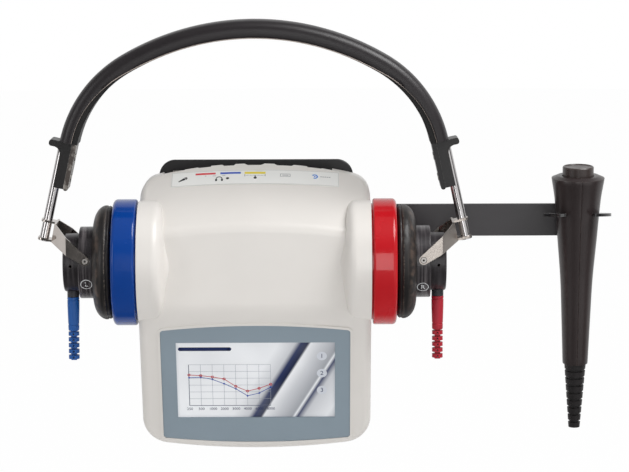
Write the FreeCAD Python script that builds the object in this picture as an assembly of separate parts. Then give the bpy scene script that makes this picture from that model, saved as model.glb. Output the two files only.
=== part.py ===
"""Wall-hung audiometer with stored headset and handswitch, one STEP file per piece.

Frame: origin at the centre of the wall bolts, on the wall plane. +X to the viewer's right,
-Y out of the wall towards the viewer, +Z up. Millimetres and degrees.
"""
import FreeCAD, Part
import math
import os

V = FreeCAD.Vector
X, Y, Z = V(1, 0, 0), V(0, 1, 0), V(0, 0, 1)

# ---------------------------------------------------------------- driving dimensions
FIT = 0.1            # gap between plastic or rubber pieces that plug together
RUN = 0.05           # radial running clearance of a pin or rod in its hole
AIR = 0.3            # gap between a soft piece and its neighbour on another body

# wall bracket
PLATE_W, PLATE_TOP, PLATE_BOTTOM = 121.0, 58.3, -62.0
PLATE_T, PLATE_CORNER, PLATE_BEVEL = 2.0, 10.0, 0.5
BOLT_DX, BOLT_DZ, BOLT_R = 80.0, 90.0, 2.75
STUD_X, STUD_Z = 25.0, (2.0, -50.0)
STUD_R, STUD_HEAD_R, STUD_HEAD_T = 2.4, 4.4, 1.6
KEY_DROP = 10.0      # from the hanging place down to the entry hole of a keyhole slot
RIVET_R = 2.0
ARM_H, ARM_T, ARM_Z = 20.0, 3.0, 20.2
ARM_START, ARM_OVERRUN = 10.0, 10.0
ARM_RIVETS_X = (18.0, 46.0)

# case
CASE_HALF_W, CASE_TOP, CASE_BOTTOM = 70.6, 57.5, -119.9
BACK_GAP = 5.2       # wall plane to the back of the case
CASE_FRONT = 66.0    # wall plane to the upright front face
TOP_CROWN_R, SLOPE_CROWN_R, BOTTOM_CROWN_R = 260.0, 500.0, 420.0
TOP_CORNER_R, BOTTOM_CORNER_R = 12.5, 17.0
TOP_SLOPE = 34.0     # slope of the top face
SLOPE_DROP = 0.8     # from the crest of the top edge down to the start of the slope
FRONT_EDGE_R, BROW_R, CHIN_R = 5.0, 8.0, 30.0
BACK_EDGE_R = 2.0
WALL = 2.5
PART_Y = 19.0        # wall plane to the joint of the two shells
DISPLAY_TILT = 23.0
DISPLAY_Y, DISPLAY_Z = -46.0, -75.9
SCREW_R, SCREW_HEAD_R, SCREW_HEAD_T, BOSS_R = 1.5, 2.8, 1.8, 3.6
CASE_SCREW_IN, CASE_SCREW_Z = 7.2, (34.0, -104.0)       # in from the case's side
CASE_SCREW_BITE, CASE_HOLE_DEEP = 10.0, 12.0            # beyond the joint of the shells
FOOT_IN, FOOT_Z, FOOT_R = 6.0, (-14.0, -88.0), 3.6      # in from the case's side
HUMP_R, HUMP_ROOT_R = 37.5, 20.0
HUMP_CREST_IN, HUMP_ROOT_IN = 8.6, 22.6                 # crest and root, in from the case's side

# display
BEZEL_IN = 12.8      # from the case's side to the bezel's
BEZEL_HALF_H, BEZEL_BOW, BEZEL_T, BEZEL_CORNER = 39.2, 3.5, 0.8, 2.2
RIM_W, RIM_H = 1.6, 0.5
WINDOW_IN = 9.3      # from the bezel's side to the window's
WINDOW_H, WINDOW_UP = 55.1, 2.8
GLASS_MARGIN = 3.0   # touch panel beyond the window, each side
LCD_MARGIN_W, LCD_MARGIN_H, LCD_T = 4.2, 6.0, 4.6

# connectors on top, from left to right
BAY_LEFT_IN, BAY_RIGHT_IN, BAY_FLOOR, BAY_WALL = 13.6, 23.1, 47.5, 2.0   # in from the case's sides
JACK_X = {"switch_jack": -48.5, "right_jack": -32.0, "left_jack": -16.7}
JACK_BORE_R, JACK_BARREL_R, JACK_NUT_R, JACK_NUT_T = 1.8, 3.0, 4.2, 2.0
JACK_TALL, JACK_BODY_W, JACK_BODY_H, JACK_BORE_DEEP = 5.0, 9.0, 12.6, 14.0
BODY_AIR, BODY_OVER, PORT_SHELL = 0.6, 1.0, 1.0
PORTS = {"data_port": (-0.7, 13.0, 7.0), "usb_port": (18.4, 12.4, 5.0), "power_jack": (37.2, 9.4, 8.0)}
PORT_TALL, PORT_HOLE_DEEP = 4.0, 8.0
SCALLOP_DEEP = 1.6
BOARD_IN, BOARD_TOP, BOARD_BOTTOM, BOARD_T = 14.6, 40.0, -40.0, 1.6       # in from the case's side
BOARD_SETBACK = 0.6  # board's back, behind the joint of the shells
BOARD_SCREW_IN, BOARD_SCREW_Z, BOARD_SCREW_L = 5.0, (22.0, -34.0), 6.0    # in from the board's side
LABEL_IN, LABEL_START, LABEL_DEEP, LABEL_T, GLUE = 19.1, 5.0, 13.4, 0.3, 0.05

# storage cups and earphones, turned about the cup axis
CUP_Y = -45.0        # the cup axis lies at this depth, at the height of the wall bolts' centre
CUP_R, CUP_W, CUP_GAP, CUP_LIP = 38.5, 14.3, 1.1, 2.6
DISH_R, DISH_DEEP, CUP_FLOOR = 30.0, 7.0, 3.0
CUP_SCREW_PCD, CUP_BOSS_R = 40.0, 4.0
CUSHION_R, CUSHION_W, CUSHION_ROUND, CUSHION_EDGE, CUSHION_HOLE_R = 35.8, 11.3, 8.0, 1.2, 14.0
RING_R, RING_W, RING_WALL, RING_EDGE = 21.9, 9.0, 1.6, 0.6
NECK_R, NECK_W = 19.5, 3.0
CAP_R, CAP_W, CAP_EDGE = 17.7, 9.6, 1.2
CAP_SCREW_Y, CAP_SCREW_UP, CAP_POST_R = (-9.0, 9.0), 5.0, 3.6
VENT_R = 0.9
DRIVER_W, MAGNET_T = 7.0, 2.0
SOCKET_R, SOCKET_DROP, SOCKET_TALL = 3.65, 21.1, 10.6
PLUG_PIN_R, PLUG_PIN_GAP, PLUG_PIN_L, PLUG_STROKE = 0.8, 2.8, 8.0, 9.0
BOOT_R, BOOT_L = 3.65, 20.8
BOOT_LINKS, LINK_PITCH, LINK_R, LINK_NECK = 5, 3.6, 3.3, 3.4
CORD_R = 1.2

# headset frame: rods lean inwards towards the top
ROD_LEAN, ROD_OUT, ROD_Z = 12.5, 56.8, 20.5              # out from the case's side
ROD_R, ROD_HEAD_R, ROD_HEAD_T, ROD_STROKE = 2.85, 3.7, 0.9, 18.0
YOKE_H, YOKE_T, YOKE_INSET, EAR_REACH, EAR_HALF_W, EAR_ROUND = 12.4, 1.2, 5.1, 3.6, 5.6, 3.0
YOKE_BEND_OUT, YOKE_SPLAY = 42.8, 30.8                   # out from the case's side
PIN_OUT, PIN_Z, PIN_R, PIN_HEAD_R, PIN_HEAD_T = 31.4, 3.8, 1.2, 2.0, 0.5
TIP_R, YOKE_SIDE_GAP = 2.75, 0.5
BLOCK_BOTTOM, BLOCK_TOP = 27.3, 55.6
BLOCK_IN, BLOCK_OUT, BLOCK_HALF_W = -5.6, 0.5, 8.5
TAB_REACH, TAB_T, TAB_COVE = 8.3, 3.9, 4.4
CLIP_IN, CLIP_T, CLIP_FLANGE_T, CLIP_OVER = -8.5, 1.0, 1.1, 0.8
BLOCK_RIVET_R, BLOCK_RIVET_HEAD_R, BLOCK_RIVET_HEAD_T = 1.5, 2.4, 0.4
BLOCK_RIVETS_A = (34.0, 47.0)
BAND_CROWN_R, BAND_SHOULDER_R = 160.0, 78.8
BAND_OUT, COVER_T, LINING_T = 2.81, 8.3, 3.4
COVER_W, LINING_W, COVER_EDGE, LINING_EDGE = 28.0, 25.0, 3.9, 0.9
SPRING_T, SPRING_W, SPRING_SHORT = 1.0, 12.0, 3.0
COVER_IN = BAND_OUT - COVER_T

# handswitch, turned about its own axis, which leans forwards in the fork
FORK_X, FORK_Y, FORK_Z = 198.4, -27.0, 23.6
FORK_R, FORK_T, FORK_GAP, FORK_TIP_R = 20.8, 1.8, 17.0, 0.9
FORK_RISE = 6.0      # the fork's plate rises towards the front
FLANGE_W, FLANGE_H = 18.0, 11.0
SWITCH_LEAN, SEAM_TURN = 4.0, 10.0
# outline of the grip: (height from the fork's mid-plane, radius), bottom to top
GRIP = ((-91.8, 7.8), (-63.0, 8.9), (-37.8, 10.0), (-12.8, 12.1), (12.2, 14.2), (25.5, 16.3))
COLLAR_H, COLLAR_TOP_R, COLLAR_T, GRIP_WALL = 1.5, 13.4, 2.6, 2.2
BUTTON_R, BUTTON_TALL, BUTTON_DISH, BUTTON_RIM = 9.55, 5.7, 0.9, 1.0
BUTTON_GAP, BUTTON_FLANGE_R, BUTTON_FLANGE_T = 0.2, 11.0, 1.6
BUTTON_STROKE, STEM_R, STEM_L = 2.5, 2.6, 9.0
WEB_T, WEB_HOLE_R, MICRO_SEAT = 2.0, 3.0, 4.0
SPRING_WIRE_R, SPRING_COIL_R, SPRING_TURNS, SPRING_STEPS = 0.5, 3.7, 3, 12
MICRO_W, MICRO_D, MICRO_H = 12.8, 6.4, 10.0
RELIEF_TOP_R, RELIEF_END_R, RELIEF_L, RELIEF_FINS = 6.7, 3.4, 42.4, 9
RELIEF_GROOVE, RELIEF_GROOVE_DEEP, RELIEF_PLUG_R, RELIEF_PLUG_L = 1.5, 1.2, 4.2, 8.0
SWITCH_CORD_R = 1.9

FAR = 200.0          # reach of cutting tools, beyond every piece
# what lies in from or out from the case's side
CASE_SCREW_X = CASE_HALF_W - CASE_SCREW_IN
FOOT_X = CASE_HALF_W - FOOT_IN
BEZEL_HALF_W = CASE_HALF_W - BEZEL_IN
WINDOW_W = 2 * (BEZEL_HALF_W - WINDOW_IN)
BAY_LEFT, BAY_RIGHT = BAY_LEFT_IN - CASE_HALF_W, CASE_HALF_W - BAY_RIGHT_IN
BOARD_W = 2 * (CASE_HALF_W - BOARD_IN)
BOARD_SCREW_X = BOARD_W / 2 - BOARD_SCREW_IN
LABEL_HALF_W = CASE_HALF_W - LABEL_IN
ROD_X, YOKE_BEND_X, PIN_X = CASE_HALF_W + ROD_OUT, CASE_HALF_W + YOKE_BEND_OUT, CASE_HALF_W + PIN_OUT

PARTS = {}


# ---------------------------------------------------------------- building helpers
def box(x0, x1, y0, y1, z0, z1):
    """Box between two corners, given in any order."""
    low = V(min(x0, x1), min(y0, y1), min(z0, z1))
    return Part.makeBox(abs(x1 - x0), abs(y1 - y0), abs(z1 - z0), low)


def rod(start, direction, length, radius):
    """Cylinder from a start point along a direction."""
    return Part.makeCylinder(radius, length, start, direction)


def turned(profile, centre, axis, across):
    """Solid of revolution of (along, radius) points; across is the direction of the radius."""
    points = [centre + axis * along + across * radius for along, radius in profile]
    face = Part.Face(Part.makePolygon(points + points[:1]))
    return face.revolve(centre, axis, 360)


def corner_arc(before, corner, after, radius):
    """Start, middle and end of the arc that rounds a corner."""
    one, two = (before - corner).normalize(), (after - corner).normalize()
    half = one.getAngle(two) / 2
    inward = (one + two).normalize()
    centre = corner + inward * (radius / math.sin(half))
    run = radius / math.tan(half)
    return corner + one * run, centre - inward * radius, corner + two * run


def rounded_face(corners):
    """Flat face of (point, corner radius) pairs; radius 0 leaves the corner sharp."""
    ends = []
    for i, (point, radius) in enumerate(corners):
        before, after = corners[i - 1][0], corners[(i + 1) % len(corners)][0]
        ends.append(corner_arc(before, point, after, radius) if radius else (point, None, point))
    edges = []
    for i, (start, middle, end) in enumerate(ends):
        if middle:
            edges.append(Part.Arc(start, middle, end).toShape())
        following = ends[(i + 1) % len(ends)][0]
        if (following - end).Length > 1e-6:
            edges.append(Part.LineSegment(end, following).toShape())
    return Part.Face(Part.Wire(edges))


def fillet_where(shape, radius, test):
    """Round every edge whose mid-point and length pass the test."""
    chosen = [e for e in shape.Edges if test(e.CenterOfMass, e.Length, e.BoundBox)]
    return shape.makeFillet(radius, chosen)


def round_rim(shape, radius, x, rim_r):
    """Round the full circle of radius rim_r that lies in the plane at x."""
    return fillet_where(shape, radius, lambda c, l, b: abs(c.x - x) < 1e-3 and b.YLength > 2 * rim_r - 1e-3)


def fuse(first, *others):
    """One solid out of touching shapes, with the seams between them removed."""
    return first.multiFuse(list(others)).removeSplitter()


def cut(shape, *tools):
    """Shape without the tools."""
    return shape.cut(Part.makeCompound(list(tools)))


def placed(shape, placement):
    """Copy of a shape, moved from a local frame into the part's frame."""
    moved = shape.copy()
    moved.Placement = placement.multiply(moved.Placement)
    return moved


def left_of(shape):
    """Mirror image of a right-hand piece."""
    return shape.mirror(V(0, 0, 0), X)


def keep(name, shape):
    """Store a finished node; groups of separate pieces stay a compound."""
    PARTS[name] = shape


def keep_pair(name, shape):
    """Store a right-hand piece and its mirror image."""
    keep("right_" + name, shape)
    keep("left_" + name, left_of(shape))


def four(x, heights):
    """The four places (+-x, each height)."""
    return [(side * x, height) for height in heights for side in (-1, 1)]


def keep_group(name, make, x, heights):
    """Store four alike pieces as one node."""
    keep(name, Part.makeCompound([make(at_x, at_z) for at_x, at_z in four(x, heights)]))


# ---------------------------------------------------------------- wall bracket
ARM_END = FORK_X + ARM_OVERRUN
ARM_FRONT = -(PLATE_T + ARM_T)
FORK_RIVETS_X = (FORK_X - FLANGE_W / 4, FORK_X + FLANGE_W / 4)
FORK_BOTTOM = FORK_Z - FORK_T / 2
FORK_RIVET_Z = FORK_BOTTOM - FLANGE_H / 2


def wall_plate():
    outline = [V(-PLATE_W / 2, 0, PLATE_BOTTOM), V(PLATE_W / 2, 0, PLATE_BOTTOM),
               V(PLATE_W / 2, 0, PLATE_TOP), V(-PLATE_W / 2, 0, PLATE_TOP)]
    plate = rounded_face([(point, PLATE_CORNER) for point in outline]).extrude(-Y * PLATE_T)
    front = [e for e in plate.Edges if abs(e.BoundBox.YMax + PLATE_T) < 1e-6]
    plate = plate.makeChamfer(PLATE_BEVEL, front)
    through = V(0, 1, 0)
    holes = [rod(V(x, -PLATE_T, z) - through, Y, PLATE_T + 2, BOLT_R)
             for x, z in four(BOLT_DX / 2, (-BOLT_DZ / 2, BOLT_DZ / 2))]
    holes += [rod(V(x, -PLATE_T, z) - through, Y, PLATE_T + 2, STUD_R) for x, z in four(STUD_X, STUD_Z)]
    holes += [rod(V(x, -PLATE_T, ARM_Z) - through, Y, PLATE_T + 2, RIVET_R) for x in ARM_RIVETS_X]
    return cut(plate, *holes)


def plate_stud(x, z):
    """Shoulder stud: shank in the plate, shoulder up to the case's back, head inside the case."""
    shank_l = BACK_GAP + WALL + FIT
    shank = rod(V(x, 0, z), -Y, shank_l, STUD_R)
    shoulder = rod(V(x, -PLATE_T, z), -Y, BACK_GAP - PLATE_T - FIT, STUD_HEAD_R)
    head = rod(V(x, -shank_l, z), -Y, STUD_HEAD_T, STUD_HEAD_R)
    return shank.fuse(shoulder).fuse(head).removeSplitter()


def hanger_arm():
    arm = box(ARM_START, ARM_END, ARM_FRONT, -PLATE_T, ARM_Z - ARM_H / 2, ARM_Z + ARM_H / 2)
    holes = [rod(V(x, 0, ARM_Z), -Y, -ARM_FRONT + 1, RIVET_R) for x in ARM_RIVETS_X]
    holes += [rod(V(x, 0, FORK_RIVET_Z), -Y, -ARM_FRONT + 1, RIVET_R) for x in FORK_RIVETS_X]
    return cut(arm, *holes)


def bracket_rivets():
    plate_pair = [rod(V(x, 0, ARM_Z), -Y, -ARM_FRONT, RIVET_R) for x in ARM_RIVETS_X]
    fork_pair = [rod(V(x, -PLATE_T, FORK_RIVET_Z), -Y, ARM_T + FORK_T, RIVET_R) for x in FORK_RIVETS_X]
    return Part.makeCompound(plate_pair + fork_pair)


def switch_fork():
    """Flat ring, open at the front, on a tongue that is bent down and riveted to the arm."""
    left, right = FORK_X - FLANGE_W / 2, FORK_X + FLANGE_W / 2
    low, high = FORK_BOTTOM, FORK_BOTTOM + FORK_T
    ring = rod(V(FORK_X, FORK_Y, low), Z, FORK_T, FORK_R)
    tongue = box(left, right, FORK_Y, ARM_FRONT, low, high)
    mouth = box(FORK_X - FORK_GAP / 2, FORK_X + FORK_GAP / 2, FORK_Y - FORK_R - 1, FORK_Y, low - 1, high + 1)
    plate = cut(fuse(ring, tongue), mouth)
    plate = fillet_where(plate, FORK_TIP_R, lambda c, l, b: b.ZLength > FORK_T * 0.9 and b.XLength < 1e-3
                         and c.y < FORK_Y - FORK_R * 0.7)
    plate.rotate(V(FORK_X, ARM_FRONT, low), -X, FORK_RISE)
    flange = box(left, right, ARM_FRONT - FORK_T, ARM_FRONT, low - FLANGE_H, high)
    tips = cut(fuse(plate, flange), placed(grip_form(RUN), SWITCH_FRAME))
    tips = tips.cut(box(left, right, ARM_FRONT, 0, low - FLANGE_H, high + FORK_T))
    holes = [rod(V(x, 0, FORK_RIVET_Z), -Y, -ARM_FRONT + FORK_T + 1, RIVET_R) for x in FORK_RIVETS_X]
    return cut(tips, *holes)


# ---------------------------------------------------------------- case
DISPLAY_FRAME = FreeCAD.Placement(V(0, DISPLAY_Y, DISPLAY_Z), FreeCAD.Rotation(X, 90 + DISPLAY_TILT))
CUP_CENTRE = V(0, CUP_Y, 0)
BACK = -BACK_GAP
INNER_BACK = BACK - WALL
PARTING = -PART_Y
BAY_FRONT = PARTING + BAY_WALL
JACK_Y = (BAY_FRONT + BACK) / 2
BOARD_BACK = PARTING + BOARD_SETBACK
SLOPE_DIR = V(0, -math.cos(math.radians(TOP_SLOPE)), -math.sin(math.radians(TOP_SLOPE)))
SLOPE_UP = V(0, -math.sin(math.radians(TOP_SLOPE)), math.cos(math.radians(TOP_SLOPE)))
SLOPE_START = V(0, PARTING, CASE_TOP - SLOPE_DROP)


def crown(radius):
    """Half space under the crowned, sloping top face, as a long cylinder."""
    return rod(SLOPE_START - SLOPE_UP * SLOPE_CROWN_R - SLOPE_DIR * FAR, SLOPE_DIR, 2 * FAR, radius)


def slope_y(z, inset=0.0):
    """Depth of the display face at a height, drawn in by inset."""
    down = math.radians(DISPLAY_TILT)
    return DISPLAY_Y + (z - DISPLAY_Z) * -math.tan(down) + inset / math.cos(down)


def slope_z(y, inset=0.0):
    """Height at which the display face, drawn in by inset, reaches a depth."""
    down = math.radians(DISPLAY_TILT)
    return DISPLAY_Z - (y - DISPLAY_Y - inset / math.cos(down)) / math.tan(down)


def case_block(inset):
    """Outer form of the case without its humps, drawn in by inset on every side."""
    half, top, bottom = CASE_HALF_W - inset, CASE_TOP - inset, CASE_BOTTOM + inset
    block = box(-half, half, BACK - inset, BACK - FAR, bottom, top)
    top_centre, bottom_centre = CASE_TOP - TOP_CROWN_R, CASE_BOTTOM + BOTTOM_CROWN_R
    for centre_z, radius in ((top_centre, TOP_CROWN_R), (bottom_centre, BOTTOM_CROWN_R)):
        block = block.common(rod(V(0, BACK + 1, centre_z), -Y, FAR + 2, radius - inset))
    for radius, upper in ((TOP_CORNER_R, True), (BOTTOM_CORNER_R, False)):
        block = fillet_where(block, radius - inset, lambda c, l, b: b.YLength > FAR / 2
                             and abs(abs(c.x) - half) < 1e-3 and (c.z > 0) == upper)
    block = block.common(crown(SLOPE_CROWN_R - inset))
    front, low_z = inset - CASE_FRONT, CASE_BOTTOM - 20
    side = -half - 1
    profile = [(V(side, BACK + 1, CASE_TOP + 20), 0), (V(side, front, CASE_TOP + 20), 0),
               (V(side, front, slope_z(front, inset)), CHIN_R),
               (V(side, slope_y(low_z, inset), low_z), 0), (V(side, BACK + 1, low_z), 0)]
    return block.common(rounded_face(profile).extrude(X * (2 * half + 2)))


def hump(side, inset):
    """Bulge of the case's side round the cup axis, which swings up softly out of the front face."""
    outer, top = CASE_HALF_W - inset, HUMP_R - inset
    root = V(CASE_HALF_W - HUMP_ROOT_IN + inset, 0, HUMP_ROOT_R - inset)
    crest = V(CASE_HALF_W - HUMP_CREST_IN + inset, 0, top)
    swell = Part.BSplineCurve()
    swell.interpolate(Points=[root, (root + crest) * 0.5, crest], InitialTangent=X, FinalTangent=X)
    corners = [crest, V(outer, 0, top), V(outer, 0, 0), V(root.x, 0, 0), root]
    edges = [Part.LineSegment(a, b).toShape() for a, b in zip(corners, corners[1:])]
    solid = Part.Face(Part.Wire([swell.toShape()] + edges)).revolve(V(0, 0, 0), X, 360)
    if side < 0:
        solid = left_of(solid)
    return solid.translated(CUP_CENTRE)


def rounds_front(centre, length, bounds):
    """Edges between the case's flanks and the faces that look out of the wall."""
    if centre.y > PARTING + 3:
        return False
    flank = bounds.XLength < 1e-3 and bounds.ZLength > 1 and abs(centre.x) > CASE_HALF_W / 2
    corner = abs(centre.x) > CASE_HALF_W * 0.9 and bounds.YLength > 5 and bounds.ZLength > 5
    return flank or corner or (centre.z < CASE_BOTTOM + 20 and bounds.XLength > BOTTOM_CORNER_R)


def case_solid():
    """Closed outer form of the case, edges rounded."""
    block = case_block(0)
    block = fillet_where(block, BROW_R, lambda c, l, b: l > CASE_HALF_W and b.YLength < 0.5
                         and c.z > 0 and abs(c.y + CASE_FRONT) < 0.5)
    block = fillet_where(block, FRONT_EDGE_R, rounds_front)
    block = fillet_where(block, BACK_EDGE_R, lambda c, l, b: b.YLength < 1e-3 and abs(c.y - BACK) < 1e-3)
    return fuse(block, hump(1, 0), hump(-1, 0))


def case_cavity():
    """Room inside the case, a wall's thickness in from its outer form."""
    return fuse(case_block(WALL), hump(1, WALL), hump(-1, WALL))


def connector_bay():
    """Bay behind the top edge, open upwards and to the back."""
    return box(BAY_LEFT, BAY_RIGHT, BAY_FRONT, 1, BAY_FLOOR, CASE_TOP + 5)


def scallops():
    """Shallow dips in the bay's front wall, one in front of each connector."""
    places = [(x, JACK_NUT_R) for x in JACK_X.values()] + [(x, w / 2) for x, w, _ in PORTS.values()]
    tools = []
    for x, reach in places:
        top = CASE_TOP - x * x / (2 * TOP_CROWN_R)
        radius = (reach ** 2 + SCALLOP_DEEP ** 2) / (2 * SCALLOP_DEEP)
        tools.append(rod(V(x, BAY_FRONT + 1, top - SCALLOP_DEEP + radius), -Y, BAY_WALL + 1, radius))
    return tools


def cup_screw_places():
    """Three places on the pitch circle, as offsets from the cup axis."""
    return [V(0, CUP_SCREW_PCD / 2 * math.cos(a), CUP_SCREW_PCD / 2 * math.sin(a))
            for a in (math.radians(90 + 120 * i) for i in range(3))]


def shells():
    """Front and rear shell, cut from one hollow form at the parting plane."""
    outer, cavity = case_solid(), case_cavity()
    bay = connector_bay()
    lining = box(BAY_LEFT - BAY_WALL, BAY_RIGHT + BAY_WALL, PARTING, BACK, BAY_FLOOR - BAY_WALL, CASE_TOP)
    cavity = cavity.cut(lining)
    hollow = outer.cut(cavity).cut(bay)
    front_half = box(-FAR, FAR, PARTING, -FAR, -FAR, FAR)
    front, rear = hollow.common(front_half), hollow.cut(front_half)

    posts = []
    for x, z in four(CASE_SCREW_X, CASE_SCREW_Z):
        posts.append(rod(V(x, BACK - 0.01, z), -Y, FAR, BOSS_R))
    posts = Part.makeCompound(posts).common(outer)
    places = four(CASE_SCREW_X, CASE_SCREW_Z)
    holes = [rod(V(x, 1, z), -Y, PART_Y + 1 + CASE_HOLE_DEEP, SCREW_R) for x, z in places]
    seats = [rod(V(x, 1, z), -Y, BACK_GAP + SCREW_HEAD_T + 1, SCREW_HEAD_R) for x, z in places]
    front = cut(fuse(front, *posts.common(front_half).Solids), *holes)
    rear = cut(fuse(rear, *posts.cut(front_half).Solids), *holes, *seats)
    return display_opening(front), keyholes(rear)


def display_opening(front):
    """Opening for the touch panel, a shallow seat for the bezel and a raised rim round it."""
    glass_w, glass_h = WINDOW_W + 2 * GLASS_MARGIN, WINDOW_H + 2 * GLASS_MARGIN
    opening = upright(glass_w + 2 * FIT, glass_h + 2 * FIT, -2 * WALL - BEZEL_T, 1)
    seat = bezel_form(FIT, -BEZEL_T, 1)
    rim = bezel_form(RIM_W, -BEZEL_T / 2, RIM_H).cut(bezel_form(FIT, -BEZEL_T, 1))
    front = fuse(front, placed(rim, DISPLAY_FRAME))
    front = cut(front, placed(opening, DISPLAY_FRAME), placed(seat, DISPLAY_FRAME))
    screws = [rod(V(side * (CASE_HALF_W + 1), CUP_Y, 0) + at, -X * side, WALL + 2, SCREW_R)
              for side in (-1, 1) for at in cup_screw_places()]
    return cut(front, *screws)


def keyholes(rear):
    """Hanging slots, screw posts for the main board and holes for the connectors."""
    for x, z in four(STUD_X, STUD_Z):
        slot = box(x - STUD_R - FIT, x + STUD_R + FIT, 1, INNER_BACK - 0.5, z - KEY_DROP, z)
        rear = cut(rear, slot, rod(V(x, 1, z), -Y, BACK_GAP + WALL + 1.5, STUD_R + FIT),
                   rod(V(x, 1, z - KEY_DROP), -Y, BACK_GAP + WALL + 1.5, STUD_HEAD_R + FIT))
    board_places = four(BOARD_SCREW_X, BOARD_SCREW_Z)
    posts = [rod(V(x, INNER_BACK, z), -Y, INNER_BACK - BOARD_BACK, BOSS_R) for x, z in board_places]
    rear = fuse(rear, *posts)
    drill = [rod(V(x, BOARD_BACK - 1, z), Y, 1 + BOARD_SCREW_L, SCREW_R) for x, z in board_places]
    drill += [rod(V(x, JACK_Y, BAY_FLOOR + 1), -Z, BAY_WALL + 2, JACK_BARREL_R) for x in JACK_X.values()]
    drill += [neck(x, w, d, BAY_FLOOR - BAY_WALL - 1, BAY_FLOOR + 1) for x, w, d in PORTS.values()]
    return cut(rear, *drill, *scallops())


def case_screw(x, z):
    """Screw from the rear shell's back into the front shell's post."""
    seat = BACK - SCREW_HEAD_T
    shank = rod(V(x, seat, z), -Y, PART_Y + CASE_SCREW_BITE + seat, SCREW_R)
    return shank.fuse(rod(V(x, BACK, z), -Y, SCREW_HEAD_T, SCREW_HEAD_R))


def rear_foot(x, z):
    """Round foot that keeps the case's back off the wall."""
    return rod(V(x, BACK, z), Y, BACK_GAP - FIT, FOOT_R)


# ---------------------------------------------------------------- display
def bezel_form(grow, low, high):
    """Bezel outline with bowed top and bottom edges, grown sideways, between two heights."""
    half_w, half_h = BEZEL_HALF_W + grow, BEZEL_HALF_H + grow
    arcs = [Part.Arc(V(-side * half_w, side * half_h, low), V(0, side * (half_h + BEZEL_BOW), low),
                     V(side * half_w, side * half_h, low)).toShape() for side in (1, -1)]
    lines = [Part.LineSegment(V(side * half_w, half_h, low), V(side * half_w, -half_h, low)).toShape()
             for side in (1, -1)]
    solid = Part.Face(Part.Wire([arcs[0], lines[0], arcs[1], lines[1]])).extrude(Z * (high - low))
    return fillet_where(solid, BEZEL_CORNER + grow, lambda c, l, b: b.XLength < 1e-3 and b.YLength < 1e-3)


def upright(width, height, low, high):
    """Block centred on the window, between two heights over the display face."""
    return box(-width / 2, width / 2, WINDOW_UP - height / 2, WINDOW_UP + height / 2, low, high)


GLASS_BACK = -WALL - BEZEL_T / 2


def display_bezel():
    window = upright(WINDOW_W, WINDOW_H, -BEZEL_T - 1, 1)
    return placed(bezel_form(0, -BEZEL_T, 0).cut(window), DISPLAY_FRAME)


def touch_panel():
    glass = upright(WINDOW_W + 2 * GLASS_MARGIN, WINDOW_H + 2 * GLASS_MARGIN, GLASS_BACK, -BEZEL_T)
    return placed(glass, DISPLAY_FRAME)


def lcd_module():
    panel = upright(WINDOW_W + 2 * LCD_MARGIN_W, WINDOW_H + 2 * LCD_MARGIN_H, GLASS_BACK - LCD_T, GLASS_BACK)
    return placed(panel, DISPLAY_FRAME)


# ---------------------------------------------------------------- electronics and connectors
def main_board():
    board = box(-BOARD_W / 2, BOARD_W / 2, BOARD_BACK, BOARD_BACK - BOARD_T, BOARD_BOTTOM, BOARD_TOP)
    return cut(board, *[rod(V(x, 0, z), -Y, FAR, SCREW_R) for x, z in four(BOARD_SCREW_X, BOARD_SCREW_Z)])


def board_screw(x, z):
    seat = V(x, BOARD_BACK - BOARD_T, z)
    return fuse(rod(seat, Y, BOARD_T + BOARD_SCREW_L, SCREW_R), rod(seat, -Y, SCREW_HEAD_T, SCREW_HEAD_R))


def jack(x):
    """Round jack: barrel and nut above the bay's floor, body soldered to the main board."""
    low = BAY_FLOOR - BAY_WALL
    half = JACK_BODY_W / 2
    body = box(x - half, x + half, INNER_BACK - BODY_AIR, BOARD_BACK, low - JACK_BODY_H, low)
    barrel = rod(V(x, JACK_Y, low - 1), Z, BAY_WALL + JACK_TALL + 1, JACK_BARREL_R)
    nut = rod(V(x, JACK_Y, BAY_FLOOR), Z, JACK_NUT_T, JACK_NUT_R)
    bore = rod(V(x, JACK_Y, BAY_FLOOR + JACK_TALL + 1), -Z, JACK_BORE_DEEP + 1, JACK_BORE_R)
    return fuse(body, barrel, nut).cut(bore)


def neck(x, width, depth, low, high):
    """Upright block on the row of connectors, between two heights."""
    return box(x - width / 2, x + width / 2, JACK_Y - depth / 2, JACK_Y + depth / 2, low, high)


def port(x, width, depth):
    """Rectangular connector standing in the bay's floor, open at the top."""
    low, top = BAY_FLOOR - BAY_WALL, BAY_FLOOR + PORT_TALL
    half = width / 2 + BODY_OVER
    body = box(x - half, x + half, INNER_BACK - BODY_AIR, BOARD_BACK, low - JACK_BODY_H, low)
    hole = neck(x, width - 2 * PORT_SHELL, depth - 2 * PORT_SHELL, top - PORT_HOLE_DEEP, top + 1)
    return fuse(body, neck(x, width, depth, low - 1, top)).cut(hole)


def label_strip():
    """Thin overlay that follows the crowned top face, just in front of the bay."""
    skin = crown(SLOPE_CROWN_R + GLUE + LABEL_T).cut(crown(SLOPE_CROWN_R + GLUE))
    start = SLOPE_START + SLOPE_DIR * LABEL_START
    corner = start - SLOPE_UP * TOP_CORNER_R - X * LABEL_HALF_W
    along, up = SLOPE_DIR * LABEL_DEEP, SLOPE_UP * 2 * TOP_CORNER_R
    face = Part.Face(Part.makePolygon([corner, corner + along, corner + along + up, corner + up, corner]))
    return skin.common(face.extrude(X * 2 * LABEL_HALF_W))


# ---------------------------------------------------------------- storage cups
CUP_BACK = CASE_HALF_W
CUP_FACE = CUP_BACK + CUP_GAP + CUP_W


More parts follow.
